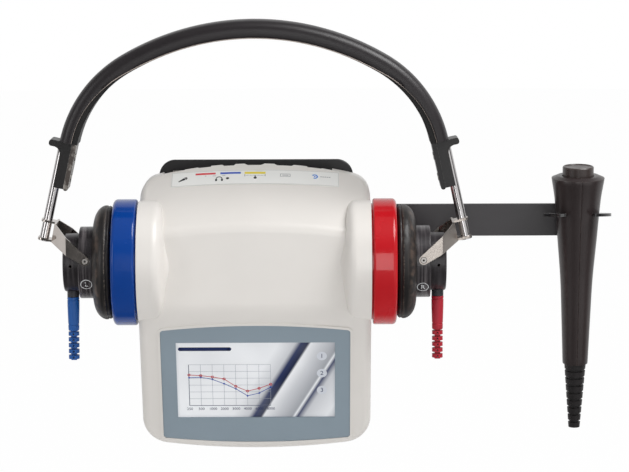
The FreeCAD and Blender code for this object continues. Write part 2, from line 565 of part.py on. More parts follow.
def cup():
    """Right-hand cup: rounded rim, dish on the outside, hollow back with three screw bosses."""
    rim = CUP_BACK + CUP_GAP
    dish_floor = CUP_FACE - DISH_DEEP
    back_r = CUP_R - CUP_FLOOR
    profile = [(dish_floor - CUP_FLOOR, 0), (dish_floor - CUP_FLOOR, back_r), (rim, back_r), (rim, CUP_R),
               (CUP_FACE, CUP_R), (CUP_FACE, DISH_R), (dish_floor, DISH_R - 1), (dish_floor, 0)]
    body = turned(profile, CUP_CENTRE, X, -Y)
    for radius, x in ((CUP_LIP, CUP_FACE), (CUP_LIP / 2, rim)):
        body = round_rim(body, radius, x, CUP_R)
    spigot_r = back_r - 2
    collar = turned([(CUP_BACK, spigot_r), (CUP_BACK, back_r), (dish_floor - CUP_FLOOR, back_r),
                     (dish_floor - CUP_FLOOR, spigot_r)], CUP_CENTRE, X, -Y)
    bosses = [rod(V(CUP_BACK, CUP_Y, 0) + at, X, dish_floor - CUP_FLOOR - CUP_BACK, CUP_BOSS_R)
              for at in cup_screw_places()]
    holes = [rod(V(CUP_BACK - 1, CUP_Y, 0) + at, X, CUP_W, SCREW_R) for at in cup_screw_places()]
    return cut(fuse(body, collar, *bosses), *holes)


def cup_screws():
    floor = CUP_FACE - DISH_DEEP
    screws = []
    for side in (-1, 1):
        for at in cup_screw_places():
            start = V(side * (CUP_BACK - WALL), CUP_Y, 0) + at
            shank = rod(start, X * side, floor - CUP_BACK + WALL, SCREW_R)
            head = rod(V(side * floor, CUP_Y, 0) + at, X * side, SCREW_HEAD_T, SCREW_HEAD_R)
            screws.append(fuse(shank, head))
    return Part.makeCompound(screws)


# ---------------------------------------------------------------- earphone, right-hand side
CUSHION_FACE = CUP_FACE + AIR
RING_START = CUSHION_FACE + CUSHION_W
CAP_START = RING_START + RING_W
CAP_END = CAP_START + CAP_W
PIN_Y = CUP_Y - RING_R - YOKE_SIDE_GAP


def cushion():
    """Round rubber cushion with a full outer shoulder, seated on the housing's neck."""
    profile = [(CUSHION_FACE, CUSHION_HOLE_R), (CUSHION_FACE, CUSHION_R), (RING_START, CUSHION_R),
               (RING_START, NECK_R), (RING_START - NECK_W, NECK_R), (RING_START - NECK_W, CUSHION_HOLE_R)]
    body = turned(profile, CUP_CENTRE, X, -Y)
    body = round_rim(body, CUSHION_ROUND, RING_START, CUSHION_R)
    return round_rim(body, CUSHION_EDGE, CUSHION_FACE, CUSHION_R)


def housing():
    """Driver housing: neck in the cushion, drum, back wall with two screw holes, pin bores."""
    inner, back = RING_R - RING_WALL, CAP_START - RING_WALL
    neck_in = NECK_R - RING_WALL
    profile = [(RING_START - NECK_W, neck_in), (RING_START - NECK_W, NECK_R), (RING_START, NECK_R),
               (RING_START, RING_R), (CAP_START, RING_R), (CAP_START, 0), (back, 0), (back, inner),
               (RING_START + RING_WALL, inner), (RING_START + RING_WALL, neck_in)]
    body = turned(profile, CUP_CENTRE, X, -Y)
    body = round_rim(body, RING_EDGE, CAP_START, RING_R)
    bores = [rod(V(PIN_X, CUP_Y, PIN_Z), side, RING_R + 2, PIN_R + RUN) for side in (Y, -Y)]
    screws = [rod(V(CAP_START + 1, CUP_Y + y, CAP_SCREW_UP), -X, RING_WALL + 2, SCREW_R) for y in CAP_SCREW_Y]
    return cut(body, *bores, *screws)


SOCKET_X = CAP_START + CAP_W / 2
SOCKET_BOTTOM = -SOCKET_DROP


def back_cap():
    """Rear cap: cup-shaped cover with screw posts, vents and the hole for the socket."""
    inner, end = CAP_R - RING_WALL, CAP_END - RING_WALL
    profile = [(CAP_START, inner), (CAP_START, CAP_R), (CAP_END, CAP_R), (CAP_END, 0), (end, 0), (end, inner)]
    body = turned(profile, CUP_CENTRE, X, -Y)
    body = round_rim(body, CAP_EDGE, CAP_END, CAP_R)
    places = [V(0, CUP_Y + y, CAP_SCREW_UP) for y in CAP_SCREW_Y]
    body = fuse(body, *[rod(at + X * CAP_START, X, CAP_W - RING_WALL / 2, CAP_POST_R) for at in places])
    screws = [rod(at + X * (CAP_START - 1), X, CAP_W + 2, SCREW_R) for at in places]
    seats = [rod(at + X * (CAP_END + 1), -X, 1 + SCREW_HEAD_T, SCREW_HEAD_R) for at in places]
    vents = [rod(V(SOCKET_X, CUP_Y, 0), side, CAP_R + 1, VENT_R) for side in (Y, -Y)]
    hole = rod(V(SOCKET_X, CUP_Y, SOCKET_BOTTOM - 1), Z, SOCKET_TALL + 1 + FIT, SOCKET_R)
    return cut(body, *screws, *seats, *vents, hole)


def cap_screws(mirrored):
    """Two screws from the cap's end into the housing's back wall."""
    side = -1 if mirrored else 1
    screws = []
    for y in CAP_SCREW_Y:
        seat = V(side * (CAP_END - SCREW_HEAD_T), CUP_Y + y, CAP_SCREW_UP)
        shank = rod(seat, -X * side, CAP_W - SCREW_HEAD_T + RING_WALL, SCREW_R)
        screws.append(fuse(shank, rod(seat, X * side, SCREW_HEAD_T - 0.4, SCREW_HEAD_R)))
    return Part.makeCompound(screws)


def driver():
    """Moving-coil capsule, face to face with the housing's neck step."""
    radius = NECK_R - RING_WALL
    start = RING_START - NECK_W + 1.0
    end = start + DRIVER_W
    profile = [(start, 0), (start, radius), (end, radius), (end, radius * 0.6),
               (end + MAGNET_T, radius * 0.5), (end + MAGNET_T, 0)]
    return turned(profile, CUP_CENTRE, X, -Y)


def socket():
    """Round socket in the cap's underside, with two pin holes."""
    body = rod(V(SOCKET_X, CUP_Y, SOCKET_BOTTOM), Z, SOCKET_TALL, SOCKET_R)
    holes = [rod(V(SOCKET_X, CUP_Y + y, SOCKET_BOTTOM - 1), Z, 1 + PLUG_PIN_L + FIT, PLUG_PIN_R + RUN)
             for y in (-PLUG_PIN_GAP / 2, PLUG_PIN_GAP / 2)]
    return cut(body, *holes)


PLUG_TOP = SOCKET_BOTTOM - FIT


def plug_pins():
    """Two contact pins on one small carrier that is moulded into the boot."""
    carrier = rod(V(SOCKET_X, CUP_Y, PLUG_TOP), -Z, 2, BOOT_R - 1)
    pins = [rod(V(SOCKET_X, CUP_Y + y, PLUG_TOP), Z, PLUG_PIN_L, PLUG_PIN_R)
            for y in (-PLUG_PIN_GAP / 2, PLUG_PIN_GAP / 2)]
    return fuse(carrier, *pins)


def plug_boot():
    """Moulded grip that runs out in a chain of notched links, bored for the cord."""
    bulge = BOOT_R + 0.35
    profile = [(0, 0), (0, BOOT_R - 0.3), (0.3, BOOT_R), (BOOT_L * 0.55, bulge), (BOOT_L * 0.8, bulge - 0.1),
               (BOOT_L, BOOT_R - 0.2), (BOOT_L, 0)]
    top = V(SOCKET_X, CUP_Y, PLUG_TOP)
    body = turned(profile, top, -Z, X)
    chain_l = BOOT_LINKS * LINK_PITCH
    half = LINK_NECK / 2
    core = box(SOCKET_X - half, SOCKET_X + half, CUP_Y - half, CUP_Y + half,
               PLUG_TOP - BOOT_L + 1, PLUG_TOP - BOOT_L - chain_l)
    links = []
    for i in range(BOOT_LINKS):
        low = PLUG_TOP - BOOT_L - (i + 1) * LINK_PITCH
        links.append(rod(V(SOCKET_X, CUP_Y, low), Z, LINK_PITCH * 0.58, LINK_R))
    body = fuse(body, core, *links)
    bore = rod(top - Z * 6, -Z, BOOT_L + chain_l, CORD_R)
    pocket = rod(top + Z, -Z, 3, BOOT_R - 1)
    return cut(body, bore, pocket)


# ---------------------------------------------------------------- headset frame, right-hand side
ROD_FRAME = FreeCAD.Placement(V(ROD_X, CUP_Y, ROD_Z), FreeCAD.Rotation(Y, -ROD_LEAN))
LEAN = math.radians(ROD_LEAN)
ROD_BOTTOM = -YOKE_H / 2 - ROD_HEAD_T
ROD_TOP = BLOCK_TOP - TAB_T - 1.0


def at_rod(u, a):
    """Point in the arch plane, u outwards from the rod and a up along it."""
    return ROD_FRAME.multVec(V(u, 0, a))


def slide_rod():
    shank = rod(V(0, 0, ROD_BOTTOM), Z, ROD_TOP - ROD_BOTTOM, ROD_R)
    head = rod(V(0, 0, ROD_BOTTOM), Z, ROD_HEAD_T - RUN, ROD_HEAD_R)
    return placed(fuse(shank, head), ROD_FRAME)


def hull_to_tip(high, low, centre, radius):
    """Flat outline in the arch plane: two points joined by tangents to a round tip."""
    def tangent(point, side):
        away = centre - point
        turn = side * math.degrees(math.asin(radius / away.Length))
        along = FreeCAD.Rotation(Y, turn).multVec(away)
        return point + along * (math.cos(math.radians(turn)))
    top, bottom = tangent(high, 1), tangent(low, -1)
    if (top - low).Length < (bottom - low).Length:
        top, bottom = tangent(high, -1), tangent(low, 1)
    beyond = (centre - (high + low) * 0.5).normalize() * radius
    edges = [Part.LineSegment(low, high).toShape(), Part.LineSegment(high, top).toShape(),
             Part.Arc(top, centre + beyond, bottom).toShape(), Part.LineSegment(bottom, low).toShape()]
    return Part.Face(Part.Wire(edges))


def yoke_plan(inset):
    """Plan of the folded strip: front, slanted flanks that meet behind the web, and back."""
    half = RING_R + YOKE_SIDE_GAP + YOKE_T - inset
    turn = math.radians(YOKE_SPLAY)
    bend = YOKE_BEND_X - inset * (1 / math.cos(turn) - math.tan(turn)) * 0.5
    peak = bend + half * math.tan(turn)
    start = PIN_X - 3 * TIP_R
    front, back = CUP_Y - half, CUP_Y + half
    points = [V(start, front, 0), V(bend, front, 0), V(peak, CUP_Y, 0), V(bend, back, 0), V(start, back, 0)]
    return Part.Face(Part.makePolygon(points + points[:1])).extrude(Z * FAR)


def yoke():
    """Folded steel yoke: web beside the rod, two ears on it, two arms down to the pivot pins."""
    tall = 120
    strip = yoke_plan(0).cut(yoke_plan(YOKE_T))
    high, low = at_rod(-YOKE_INSET, YOKE_H / 2), at_rod(-YOKE_INSET, -YOKE_H / 2)
    tip = V(PIN_X, CUP_Y, PIN_Z)
    side = hull_to_tip(high, low, tip, TIP_R)
    side.translate(-Y * tall / 2)
    strip.translate(-Z * 10)
    arms = strip.common(side.extrude(Y * tall))
    web = box(-YOKE_INSET - YOKE_T, -YOKE_INSET, -2 * YOKE_H, 2 * YOKE_H, -YOKE_H / 2, YOKE_H / 2)
    plan = yoke_plan(0)
    plan.translate(-Z * 10)
    web = placed(web, ROD_FRAME).common(plan)
    beyond = placed(box(-YOKE_INSET, tall, -tall, tall, -tall, tall), ROD_FRAME)
    ear = box(-YOKE_INSET - YOKE_T / 2, EAR_REACH, -EAR_HALF_W, EAR_HALF_W, 0, YOKE_T)
    ear = fillet_where(ear, EAR_ROUND, lambda c, l, b: b.ZLength > YOKE_T * 0.9 and b.XLength < 1e-3
                       and b.YLength < 1e-3 and c.x > 0)
    ears = [ear.translated(Z * at) for at in (YOKE_H / 2 - YOKE_T, -YOKE_H / 2)]
    body = fuse(arms.cut(beyond), web, *[placed(e, ROD_FRAME) for e in ears])
    bore = placed(rod(V(0, 0, -YOKE_H), Z, 2 * YOKE_H, ROD_R + RUN), ROD_FRAME)
    pins = [rod(V(PIN_X, CUP_Y, PIN_Z), turn, tall, PIN_R) for turn in (Y, -Y)]
    return cut(body, bore, *pins)


def pivot_pins(mirrored):
    """Headed pins, fixed in the yoke's arms and turning in the housing."""
    side = -1 if mirrored else 1
    reach = RING_R - RING_WALL
    outside = RING_R + YOKE_SIDE_GAP + YOKE_T
    pins = []
    for turn in (Y, -Y):
        start = V(side * PIN_X, CUP_Y, PIN_Z) + turn * reach
        shank = rod(start, turn, outside - reach + PIN_HEAD_T, PIN_R)
        head = rod(start + turn * (outside - reach), turn, PIN_HEAD_T, PIN_HEAD_R)
        pins.append(fuse(shank, head))
    return Part.makeCompound(pins)


def rivet_holes(start, end):
    """Holes of the block's rivets, from one distance beside the rod to another."""
    return [rod(V(start, 0, a), X, end - start, BLOCK_RIVET_R) for a in BLOCK_RIVETS_A]


def block():
    """Plastic slider block: grips the rod in a groove, finger tab at the top."""
    body = box(BLOCK_IN, BLOCK_OUT, -BLOCK_HALF_W, BLOCK_HALF_W, BLOCK_BOTTOM, BLOCK_TOP)
    tab = box(BLOCK_IN, TAB_REACH, -BLOCK_HALF_W, BLOCK_HALF_W, BLOCK_TOP - TAB_T, BLOCK_TOP)
    shape = fuse(body, tab)
    under = BLOCK_TOP - TAB_T
    shape = fillet_where(shape, TAB_COVE, lambda c, l, b: l > BLOCK_HALF_W and abs(c.x - BLOCK_OUT) < 1e-3
                         and abs(c.z - under) < 1e-3)
    shape = fillet_where(shape, TAB_T * 0.4, lambda c, l, b: l > BLOCK_HALF_W and abs(c.x - TAB_REACH) < 1e-3)
    tongue_half = CLIP_HALF_W - CLIP_FLANGE_T - FIT
    tongue = box(SPRING_OUT, BLOCK_IN, -tongue_half, tongue_half, BLOCK_BOTTOM + 2, BLOCK_TOP - 2)
    shape = fuse(shape, tongue)
    groove = rod(V(0, 0, BLOCK_BOTTOM - 1), Z, ROD_TOP - BLOCK_BOTTOM + 1.5, ROD_R + RUN)
    return placed(cut(shape, groove, *rivet_holes(SPRING_OUT - 1, RIVET_END)), ROD_FRAME)


CLIP_HALF_W = BLOCK_HALF_W - 0.2
SPRING_IN = CLIP_IN + CLIP_T
SPRING_OUT = SPRING_IN + SPRING_T
RIVET_END = -ROD_R - 0.9


def band_clip():
    """Pressed steel channel with rounded flange ends, riveted over the end of the spring band."""
    low, high = BLOCK_BOTTOM - CLIP_OVER, BLOCK_TOP - FIT
    end_r = (BLOCK_IN - CLIP_IN) / 2 - 0.05
    corners = [(V(CLIP_IN, -CLIP_HALF_W, low), end_r), (V(BLOCK_IN, -CLIP_HALF_W, low), end_r),
               (V(BLOCK_IN, -CLIP_HALF_W, high), end_r), (V(CLIP_IN, -CLIP_HALF_W, high), end_r)]
    solid = rounded_face(corners).extrude(Y * 2 * CLIP_HALF_W)
    inner_half = CLIP_HALF_W - CLIP_FLANGE_T
    inside = box(SPRING_IN, BLOCK_IN + 1, -inner_half, inner_half, low - 1, high + 1)
    return placed(cut(solid, inside, *rivet_holes(CLIP_IN - 1, SPRING_IN + 1)), ROD_FRAME)


def block_rivets():
    rivets = []
    for a in BLOCK_RIVETS_A:
        shank = rod(V(CLIP_IN, 0, a), X, RIVET_END - CLIP_IN, BLOCK_RIVET_R)
        head = rod(V(CLIP_IN, 0, a), -X, BLOCK_RIVET_HEAD_T, BLOCK_RIVET_HEAD_R)
        rivet = placed(fuse(shank, head), ROD_FRAME)
        rivets += [rivet, left_of(rivet)]
    return Part.makeCompound(rivets)


# ---------------------------------------------------------------- headband
BAND_END = BLOCK_TOP
OUTWARD = at_rod(1, 0) - at_rod(0, 0)
ALONG = at_rod(0, 1) - at_rod(0, 0)
SHOULDER_CENTRE = at_rod(BAND_OUT - BAND_SHOULDER_R, BAND_END)
CROWN_DROP = math.sqrt((BAND_CROWN_R - BAND_SHOULDER_R) ** 2 - SHOULDER_CENTRE.x ** 2)
CROWN_CENTRE = V(0, CUP_Y, SHOULDER_CENTRE.z - CROWN_DROP)
JOINT_ANGLE = math.degrees(math.atan2(CROWN_DROP, SHOULDER_CENTRE.x))


def arch(section, foot):
    """Arch swept by a (u, y) section: up from each foot beside the rod, shoulders and crown."""
    face = placed(section, ROD_FRAME).translated(ALONG * BAND_END)
    shoulder = face.revolve(SHOULDER_CENTRE, -Y, JOINT_ANGLE - ROD_LEAN)
    pieces = [shoulder, left_of(shoulder)]
    if foot < BAND_END:
        leg = face.extrude(ALONG * (foot - BAND_END))
        pieces += [leg, left_of(leg)]
    face.rotate(SHOULDER_CENTRE, -Y, JOINT_ANGLE - ROD_LEAN)
    return fuse(face.revolve(CROWN_CENTRE, -Y, 180 - 2 * JOINT_ANGLE), *pieces)


def band_section(inner, outer, width, inner_r, outer_r):
    """Section of a strip of the arch with rounded long edges."""
    half = width / 2
    return rounded_face([(V(inner, -half, 0), inner_r), (V(outer, -half, 0), outer_r),
                         (V(outer, half, 0), outer_r), (V(inner, half, 0), inner_r)])


def headband_cover():
    """Padded cover on top of the arch."""
    return arch(band_section(COVER_IN, BAND_OUT, COVER_W, 0, COVER_EDGE), BAND_END)


def spring_form():
    """Flat strip of spring steel whose ends reach down between the clips and the blocks."""
    return arch(band_section(SPRING_IN, SPRING_OUT, SPRING_W, 0, 0), BLOCK_BOTTOM + SPRING_SHORT)


def spring_band():
    holes = [placed(hole, ROD_FRAME) for hole in rivet_holes(SPRING_IN - 1, SPRING_OUT + 1)]
    return cut(spring_form(), *holes, *[left_of(h) for h in holes])


def headband_lining():
    """Firm lining under the cover, moulded round the spring band."""
    section = band_section(COVER_IN - LINING_T, COVER_IN, LINING_W, LINING_EDGE, 0)
    return arch(section, BAND_END).cut(spring_form())


# ---------------------------------------------------------------- handswitch
SWITCH_FRAME = FreeCAD.Placement(V(FORK_X, FORK_Y, FORK_Z), FreeCAD.Rotation(X, SWITCH_LEAN))
SEAM = FreeCAD.Placement(V(0, 0, 0), FreeCAD.Rotation(Z, SEAM_TURN))
GRIP_TOP = GRIP[-1][0]
GRIP_BOTTOM = GRIP[0][0]
COLLAR_TOP = GRIP_TOP + COLLAR_H


def grip_face(grow):
    """Half section of the grip, grown sideways: flared cone and chamfered collar."""
    points = [V(radius + grow, 0, height) for height, radius in GRIP]
    curve = Part.BSplineCurve()
    curve.interpolate(points)
    corner, top = V(COLLAR_TOP_R + grow, 0, COLLAR_TOP), V(0, 0, COLLAR_TOP)
    bottom = V(0, 0, GRIP_BOTTOM)
    edges = [curve.toShape()]
    for start, end in ((points[-1], corner), (corner, top), (top, bottom), (bottom, points[0])):
        edges.append(Part.LineSegment(start, end).toShape())
    return Part.Face(Part.Wire(edges))


def grip_form(grow):
    return grip_face(grow).revolve(V(0, 0, 0), Z, 360)


def grip_half(side):
    """One half of the grip: wall, collar, web that carries the switch, cut at the seam."""
    outer = grip_form(0)
    floor, ceiling = GRIP_BOTTOM + GRIP_WALL, COLLAR_TOP - COLLAR_T
    room = grip_form(-GRIP_WALL).common(rod(V(0, 0, floor), Z, ceiling - floor, 3 * BUTTON_R))
    webs = [rod(V(0, 0, WEB_Z), Z, WEB_T, 3 * BUTTON_R),
            rod(V(0, 0, MICRO_LOW - WEB_T), Z, WEB_T + MICRO_SEAT, 3 * BUTTON_R)]
    room = cut(room, *webs)
    holes = [rod(V(0, 0, COLLAR_TOP - COLLAR_T - 1), Z, COLLAR_T + 2, BUTTON_R + BUTTON_GAP),
             rod(V(0, 0, WEB_Z - 1), Z, WEB_T + 2, WEB_HOLE_R),
             micro_box(FIT), rod(V(0, 0, MICRO_LOW - WEB_T - 1), Z, WEB_T + 2, SWITCH_CORD_R),
             rod(V(0, 0, GRIP_BOTTOM - 1), Z, GRIP_WALL + 2, RELIEF_PLUG_R)]
    whole = cut(outer, room, *holes)
    half = box(0, side * FAR, -FAR, FAR, -FAR, FAR)
    half.Placement = SEAM
    return placed(whole.common(half), SWITCH_FRAME)


BUTTON_LOW = COLLAR_TOP - COLLAR_T - FIT - BUTTON_FLANGE_T
STEM_END = BUTTON_LOW - STEM_L
WEB_Z = BUTTON_LOW - BUTTON_STROKE - 6.0
MICRO_TOP = STEM_END - BUTTON_STROKE - AIR
MICRO_LOW = MICRO_TOP - MICRO_H


def switch_button():
    """Dished button with a rim, a flange that the collar holds back and a stem for the switch."""
    top = COLLAR_TOP + BUTTON_TALL
    rim_r = BUTTON_R - BUTTON_RIM
    edge = BUTTON_RIM / 2
    profile = [(STEM_END, 0), (STEM_END, STEM_R), (BUTTON_LOW, STEM_R), (BUTTON_LOW, BUTTON_FLANGE_R),
               (BUTTON_LOW + BUTTON_FLANGE_T, BUTTON_FLANGE_R), (BUTTON_LOW + BUTTON_FLANGE_T, BUTTON_R),
               (top - edge, BUTTON_R), (top, BUTTON_R - edge), (top, rim_r),
               (top - BUTTON_DISH / 2, rim_r - edge), (top - BUTTON_DISH, 0)]
    return placed(turned(profile, V(0, 0, 0), Z, X), SWITCH_FRAME)


def button_spring():
    """Coil spring between the button's flange and the upper web, its wire bent in short steps."""
    low, high = WEB_Z + WEB_T + FIT + SPRING_WIRE_R, BUTTON_LOW - FIT - SPRING_WIRE_R
    steps = SPRING_TURNS * SPRING_STEPS
    points = []
    for i in range(steps + 1):
        angle = 2 * math.pi * i / SPRING_STEPS
        points.append(V(SPRING_COIL_R * math.cos(angle), SPRING_COIL_R * math.sin(angle),
                        low + (high - low) * i / steps))
    ring = Part.Wire(Part.Circle(points[0], points[1] - points[0], SPRING_WIRE_R).toShape())
    return placed(Part.makePolygon(points).makePipeShell([ring], True, False, 1), SWITCH_FRAME)


def micro_box(grow):
    half_d, half_w = MICRO_D / 2 + grow, MICRO_W / 2 + grow
    return box(-half_d, half_d, -half_w, half_w, MICRO_LOW, MICRO_TOP)


def micro_switch():
    """Snap switch in the seat on the lower web; its plunger ends where the stem's stroke ends."""
    plunger = rod(V(0, 0, MICRO_TOP - 1), Z, 1 + AIR - RUN, STEM_R / 2)
    return placed(fuse(micro_box(0), plunger), SWITCH_FRAME)


def switch_relief():
    """Tapered cord relief with ring grooves, plugged into the grip's lower end, bored for the cord."""
    pitch = RELIEF_L / RELIEF_FINS
    taper = (RELIEF_TOP_R - RELIEF_END_R) / RELIEF_L
    profile = [(GRIP_BOTTOM + RELIEF_PLUG_L, 0), (GRIP_BOTTOM + RELIEF_PLUG_L, RELIEF_PLUG_R - RUN),
               (GRIP_BOTTOM, RELIEF_PLUG_R - RUN)]
    for i in range(RELIEF_FINS):
        start, end = i * pitch, (i + 1) * pitch
        profile += [(GRIP_BOTTOM - start, RELIEF_TOP_R - taper * start),
                    (GRIP_BOTTOM - end + RELIEF_GROOVE, RELIEF_TOP_R - taper * (end - RELIEF_GROOVE))]
        if i < RELIEF_FINS - 1:
            profile += [(GRIP_BOTTOM - end + RELIEF_GROOVE, RELIEF_TOP_R - RELIEF_GROOVE_DEEP - taper * end),
                        (GRIP_BOTTOM - end, RELIEF_TOP_R - RELIEF_GROOVE_DEEP - taper * end)]
    profile.append((GRIP_BOTTOM - RELIEF_L + RELIEF_GROOVE, 0))
    body = turned(profile, V(0, 0, 0), Z, X)
    bore = rod(V(0, 0, GRIP_BOTTOM - RELIEF_L - 1), Z, RELIEF_L + RELIEF_PLUG_L + 2, SWITCH_CORD_R)
    return placed(body.cut(bore), SWITCH_FRAME)


# ---------------------------------------------------------------- the whole part
def build():
    keep("wall_plate", wall_plate())
    keep_group("plate_studs", plate_stud, STUD_X, STUD_Z)
    keep("hanger_arm", hanger_arm())
    keep("bracket_rivets", bracket_rivets())
    keep("switch_fork", switch_fork())

    front, rear = shells()
    keep("front_shell", front)
    keep("rear_shell", rear)
    keep_group("case_screws", case_screw, CASE_SCREW_X, CASE_SCREW_Z)
    keep_group("rear_feet", rear_foot, FOOT_X, FOOT_Z)
    keep("display_bezel", display_bezel())
    keep("touch_panel", touch_panel())
    keep("lcd_module", lcd_module())
    keep("main_board", main_board())
    keep_group("board_screws", board_screw, BOARD_SCREW_X, BOARD_SCREW_Z)
    for name, x in JACK_X.items():
        keep(name, jack(x))
    for name, (x, width, depth) in PORTS.items():
        keep(name, port(x, width, depth))
    keep("label_strip", label_strip())
    keep_pair("cup", cup())
    keep("cup_screws", cup_screws())

    keep("headband_cover", headband_cover())
    keep("headband_lining", headband_lining())
    keep("spring_band", spring_band())
    keep_pair("block", block())
    keep_pair("band_clip", band_clip())
    keep("block_rivets", block_rivets())

    keep_pair("rod", slide_rod())
    keep_pair("yoke", yoke())
    keep_pair("housing", housing())
    keep_pair("back_cap", back_cap())
    keep_pair("cushion", cushion())
    keep_pair("driver", driver())
    keep_pair("socket", socket())
    keep_pair("plug_pins", plug_pins())
    keep_pair("plug_boot", plug_boot())
    for name, mirrored in (("right_", False), ("left_", True)):
        keep(name + "pivot_pins", pivot_pins(mirrored))
        keep(name + "cap_screws", cap_screws(mirrored))

    keep("switch_left_half", grip_half(-1))
    keep("switch_right_half", grip_half(1))
    keep("switch_button", switch_button())
    keep("button_spring", button_spring())
    keep("micro_switch", micro_switch())
    keep("switch_relief", switch_relief())


def export():
    os.makedirs("parts", exist_ok=True)
    for name, shape in PARTS.items():
        shape.exportStep("parts/" + name + ".step")
        state = (name, len(shape.Solids), shape.Volume, shape.isValid())
        print("%-18s solids %d  volume %9.1f  valid %s" % state)


build()
export()
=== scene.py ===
"""Looks of a wall-hung audiometer: finishes for its CAD pieces, and the pieces made here.

Laid out as an add-on. Sizes in the code are millimetres in the part's frame: origin at the
centre of the wall bolts, X to the viewer's right, Y into the wall, Z up.
"""
import math

import bmesh
import bpy
from bpy.props import FloatProperty, FloatVectorProperty, IntProperty, PointerProperty
from mathutils import Euler, Matrix, Vector


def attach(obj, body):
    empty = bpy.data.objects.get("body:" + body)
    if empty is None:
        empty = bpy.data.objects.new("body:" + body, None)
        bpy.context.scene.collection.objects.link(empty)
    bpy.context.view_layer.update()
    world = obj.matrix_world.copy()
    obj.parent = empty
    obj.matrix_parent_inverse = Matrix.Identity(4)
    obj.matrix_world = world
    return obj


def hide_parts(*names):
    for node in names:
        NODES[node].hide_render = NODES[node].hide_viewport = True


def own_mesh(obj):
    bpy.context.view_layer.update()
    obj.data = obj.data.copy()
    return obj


bl_info = {
    "name": "Wall-hung audiometer",
    "version": (1, 0, 0),
    "blender": (4, 5, 0),
    "location": "3D View > Sidebar > Audiometer",
    "description": "Finishes and soft pieces of an audiometer with stored headset and handswitch",
    "category": "Object",
}

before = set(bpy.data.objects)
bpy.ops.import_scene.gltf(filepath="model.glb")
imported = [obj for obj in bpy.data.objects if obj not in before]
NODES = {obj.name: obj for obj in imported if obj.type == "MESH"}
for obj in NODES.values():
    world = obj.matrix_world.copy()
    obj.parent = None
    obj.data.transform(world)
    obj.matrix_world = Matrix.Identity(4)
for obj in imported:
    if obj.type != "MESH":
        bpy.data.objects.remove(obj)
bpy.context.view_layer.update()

MM = 0.001
# places of the CAD pieces that the pieces made here sit on, in millimetres
CUP_Y = -45.0
CUSHION_FACE, CUSHION_BACK, NECK_START = 86.3, 97.6, 94.6
CUSHION_HOLE_R, NECK_R = 14.0, 19.5
ROD_FOOT, ROD_LEAN = (127.4, 20.5), math.radians(12.5)
BAND_END, BAND_OUT, BAND_IN = 55.6, 2.81, -5.49
SHOULDER_R, CROWN_R = 78.8, 160.0
BAND_W = 28.0
SLOPE, SLOPE_START, SLOPE_CROWN_R = math.radians(34.0), (-19.0, 56.7), 500.0
STRIP_TOP = 0.35
DISPLAY_TURN = (math.radians(113.0), 0.0, 0.0)
DISPLAY_AT = (0.0, -46.0, -75.9)
GLASS_TOP = -0.8
SWITCH_AT, SWITCH_LEAN, SEAM_TURN = (198.4, -27.0, 23.6), math.radians(4.0), math.radians(4.0)
GRIP = ((-91.8, 7.8), (-63.0, 8.9), (-37.8, 10.0), (-12.8, 12.1), (12.2, 14.2), (25.5, 16.3))
COLLAR_TOP, COLLAR_TOP_R, COLLAR_T, COLLAR_BORE_R = 27.0, 13.4, 2.6, 9.75
GRIP_WALL, GRIP_END_BORE_R = 2.2, 4.2
SOCKET_MOUTH = 45.5                 # below this height the sockets show their black inside
SCREW_R, SCREW_HEAD_R, SCREW_HEAD_T = 1.5, 2.8, 1.8
CASE_SCREW_X, CASE_SCREW_Y, CASE_SCREW_Z, CASE_SHANK = 63.4, -5.25, (34.0, -104.0), 22.0
CAP_SCREW_X, CAP_SCREW_Y, CAP_SCREW_Z, CAP_SHANK, CAP_HEAD_T = 115.8, 9.0, 5.0, 9.4, 1.4


def rgb(red, green, blue):
    """Linear colour from the 0-255 values seen on screen."""
    return tuple((c / 255 / 12.92) if c <= 10 else ((c / 255 + 0.055) / 1.055) ** 2.4
                 for c in (red, green, blue))


# ---------------------------------------------------------------- the sizes and colours a user may change
def colour(label, text, default):
    return FloatVectorProperty(name=label, description=text, default=default, subtype="COLOR",
                               size=3, min=0.0, max=1.0)


def number(label, text, default, low=0.0, high=500.0, **more):
    return FloatProperty(name=label, description=text, default=default, min=low, max=high, **more)


def length(label, text, default, low=0.0, high=10.0):
    return number(label, text, default, low, high, unit="LENGTH", precision=5)


class CaseLooks(bpy.types.PropertyGroup):
    shell: colour("Shell", "Moulded plastic of the two shells", rgb(227, 223, 218))
    bezel: colour("Bezel", "Slate lacquer of the display surround", rgb(141, 156, 167))
    strip: colour("Strip", "Printed film on the top face", rgb(238, 238, 235))
    texture: length("Texture", "Grain size of the moulded shells", 0.0006, 0.0001, 0.005)


class BracketLooks(bpy.types.PropertyGroup):
    paint: colour("Paint", "Powder coat of plate and arm", rgb(30, 29, 31))
    # painted light: the arm's colour is lighter than the plate's black coat to stand for the light falling on
    # it
    arm: colour("Arm", "Smooth coat of the arm", rgb(62, 60, 62))
    speckle: length("Speckle", "Grain size of the powder coat", 0.0005, 0.0001, 0.005)


class CupLooks(bpy.types.PropertyGroup):
    left: colour("Left cup", "Gloss plastic of the left cup", rgb(0, 60, 142))
    right: colour("Right cup", "Gloss plastic of the right cup", rgb(190, 20, 30))


class ScreenLooks(bpy.types.PropertyGroup):
    ground: colour("Ground", "Pale ground of the picture", rgb(238, 240, 243))
    navy: colour("Navy", "Dark bands of the picture", rgb(38, 50, 92))
    grey: colour("Grey", "Grey bands of the picture", rgb(160, 163, 170))
    columns: IntProperty(name="Columns", description="Grid columns of the chart", default=7, min=2, max=20)
    rows: IntProperty(name="Rows", description="Grid rows of the chart", default=6, min=2, max=20)


class BandLooks(bpy.types.PropertyGroup):
    cover: colour("Cover", "Satin vinyl of the padded cover", rgb(30, 25, 28))
    swell: length("Swell", "How far the padding may push the cover out", 0.0007, 0.0, 0.003)
    piping: length("Piping", "Radius of the bead along the cover's edges", 0.0003, 0.0001, 0.002)


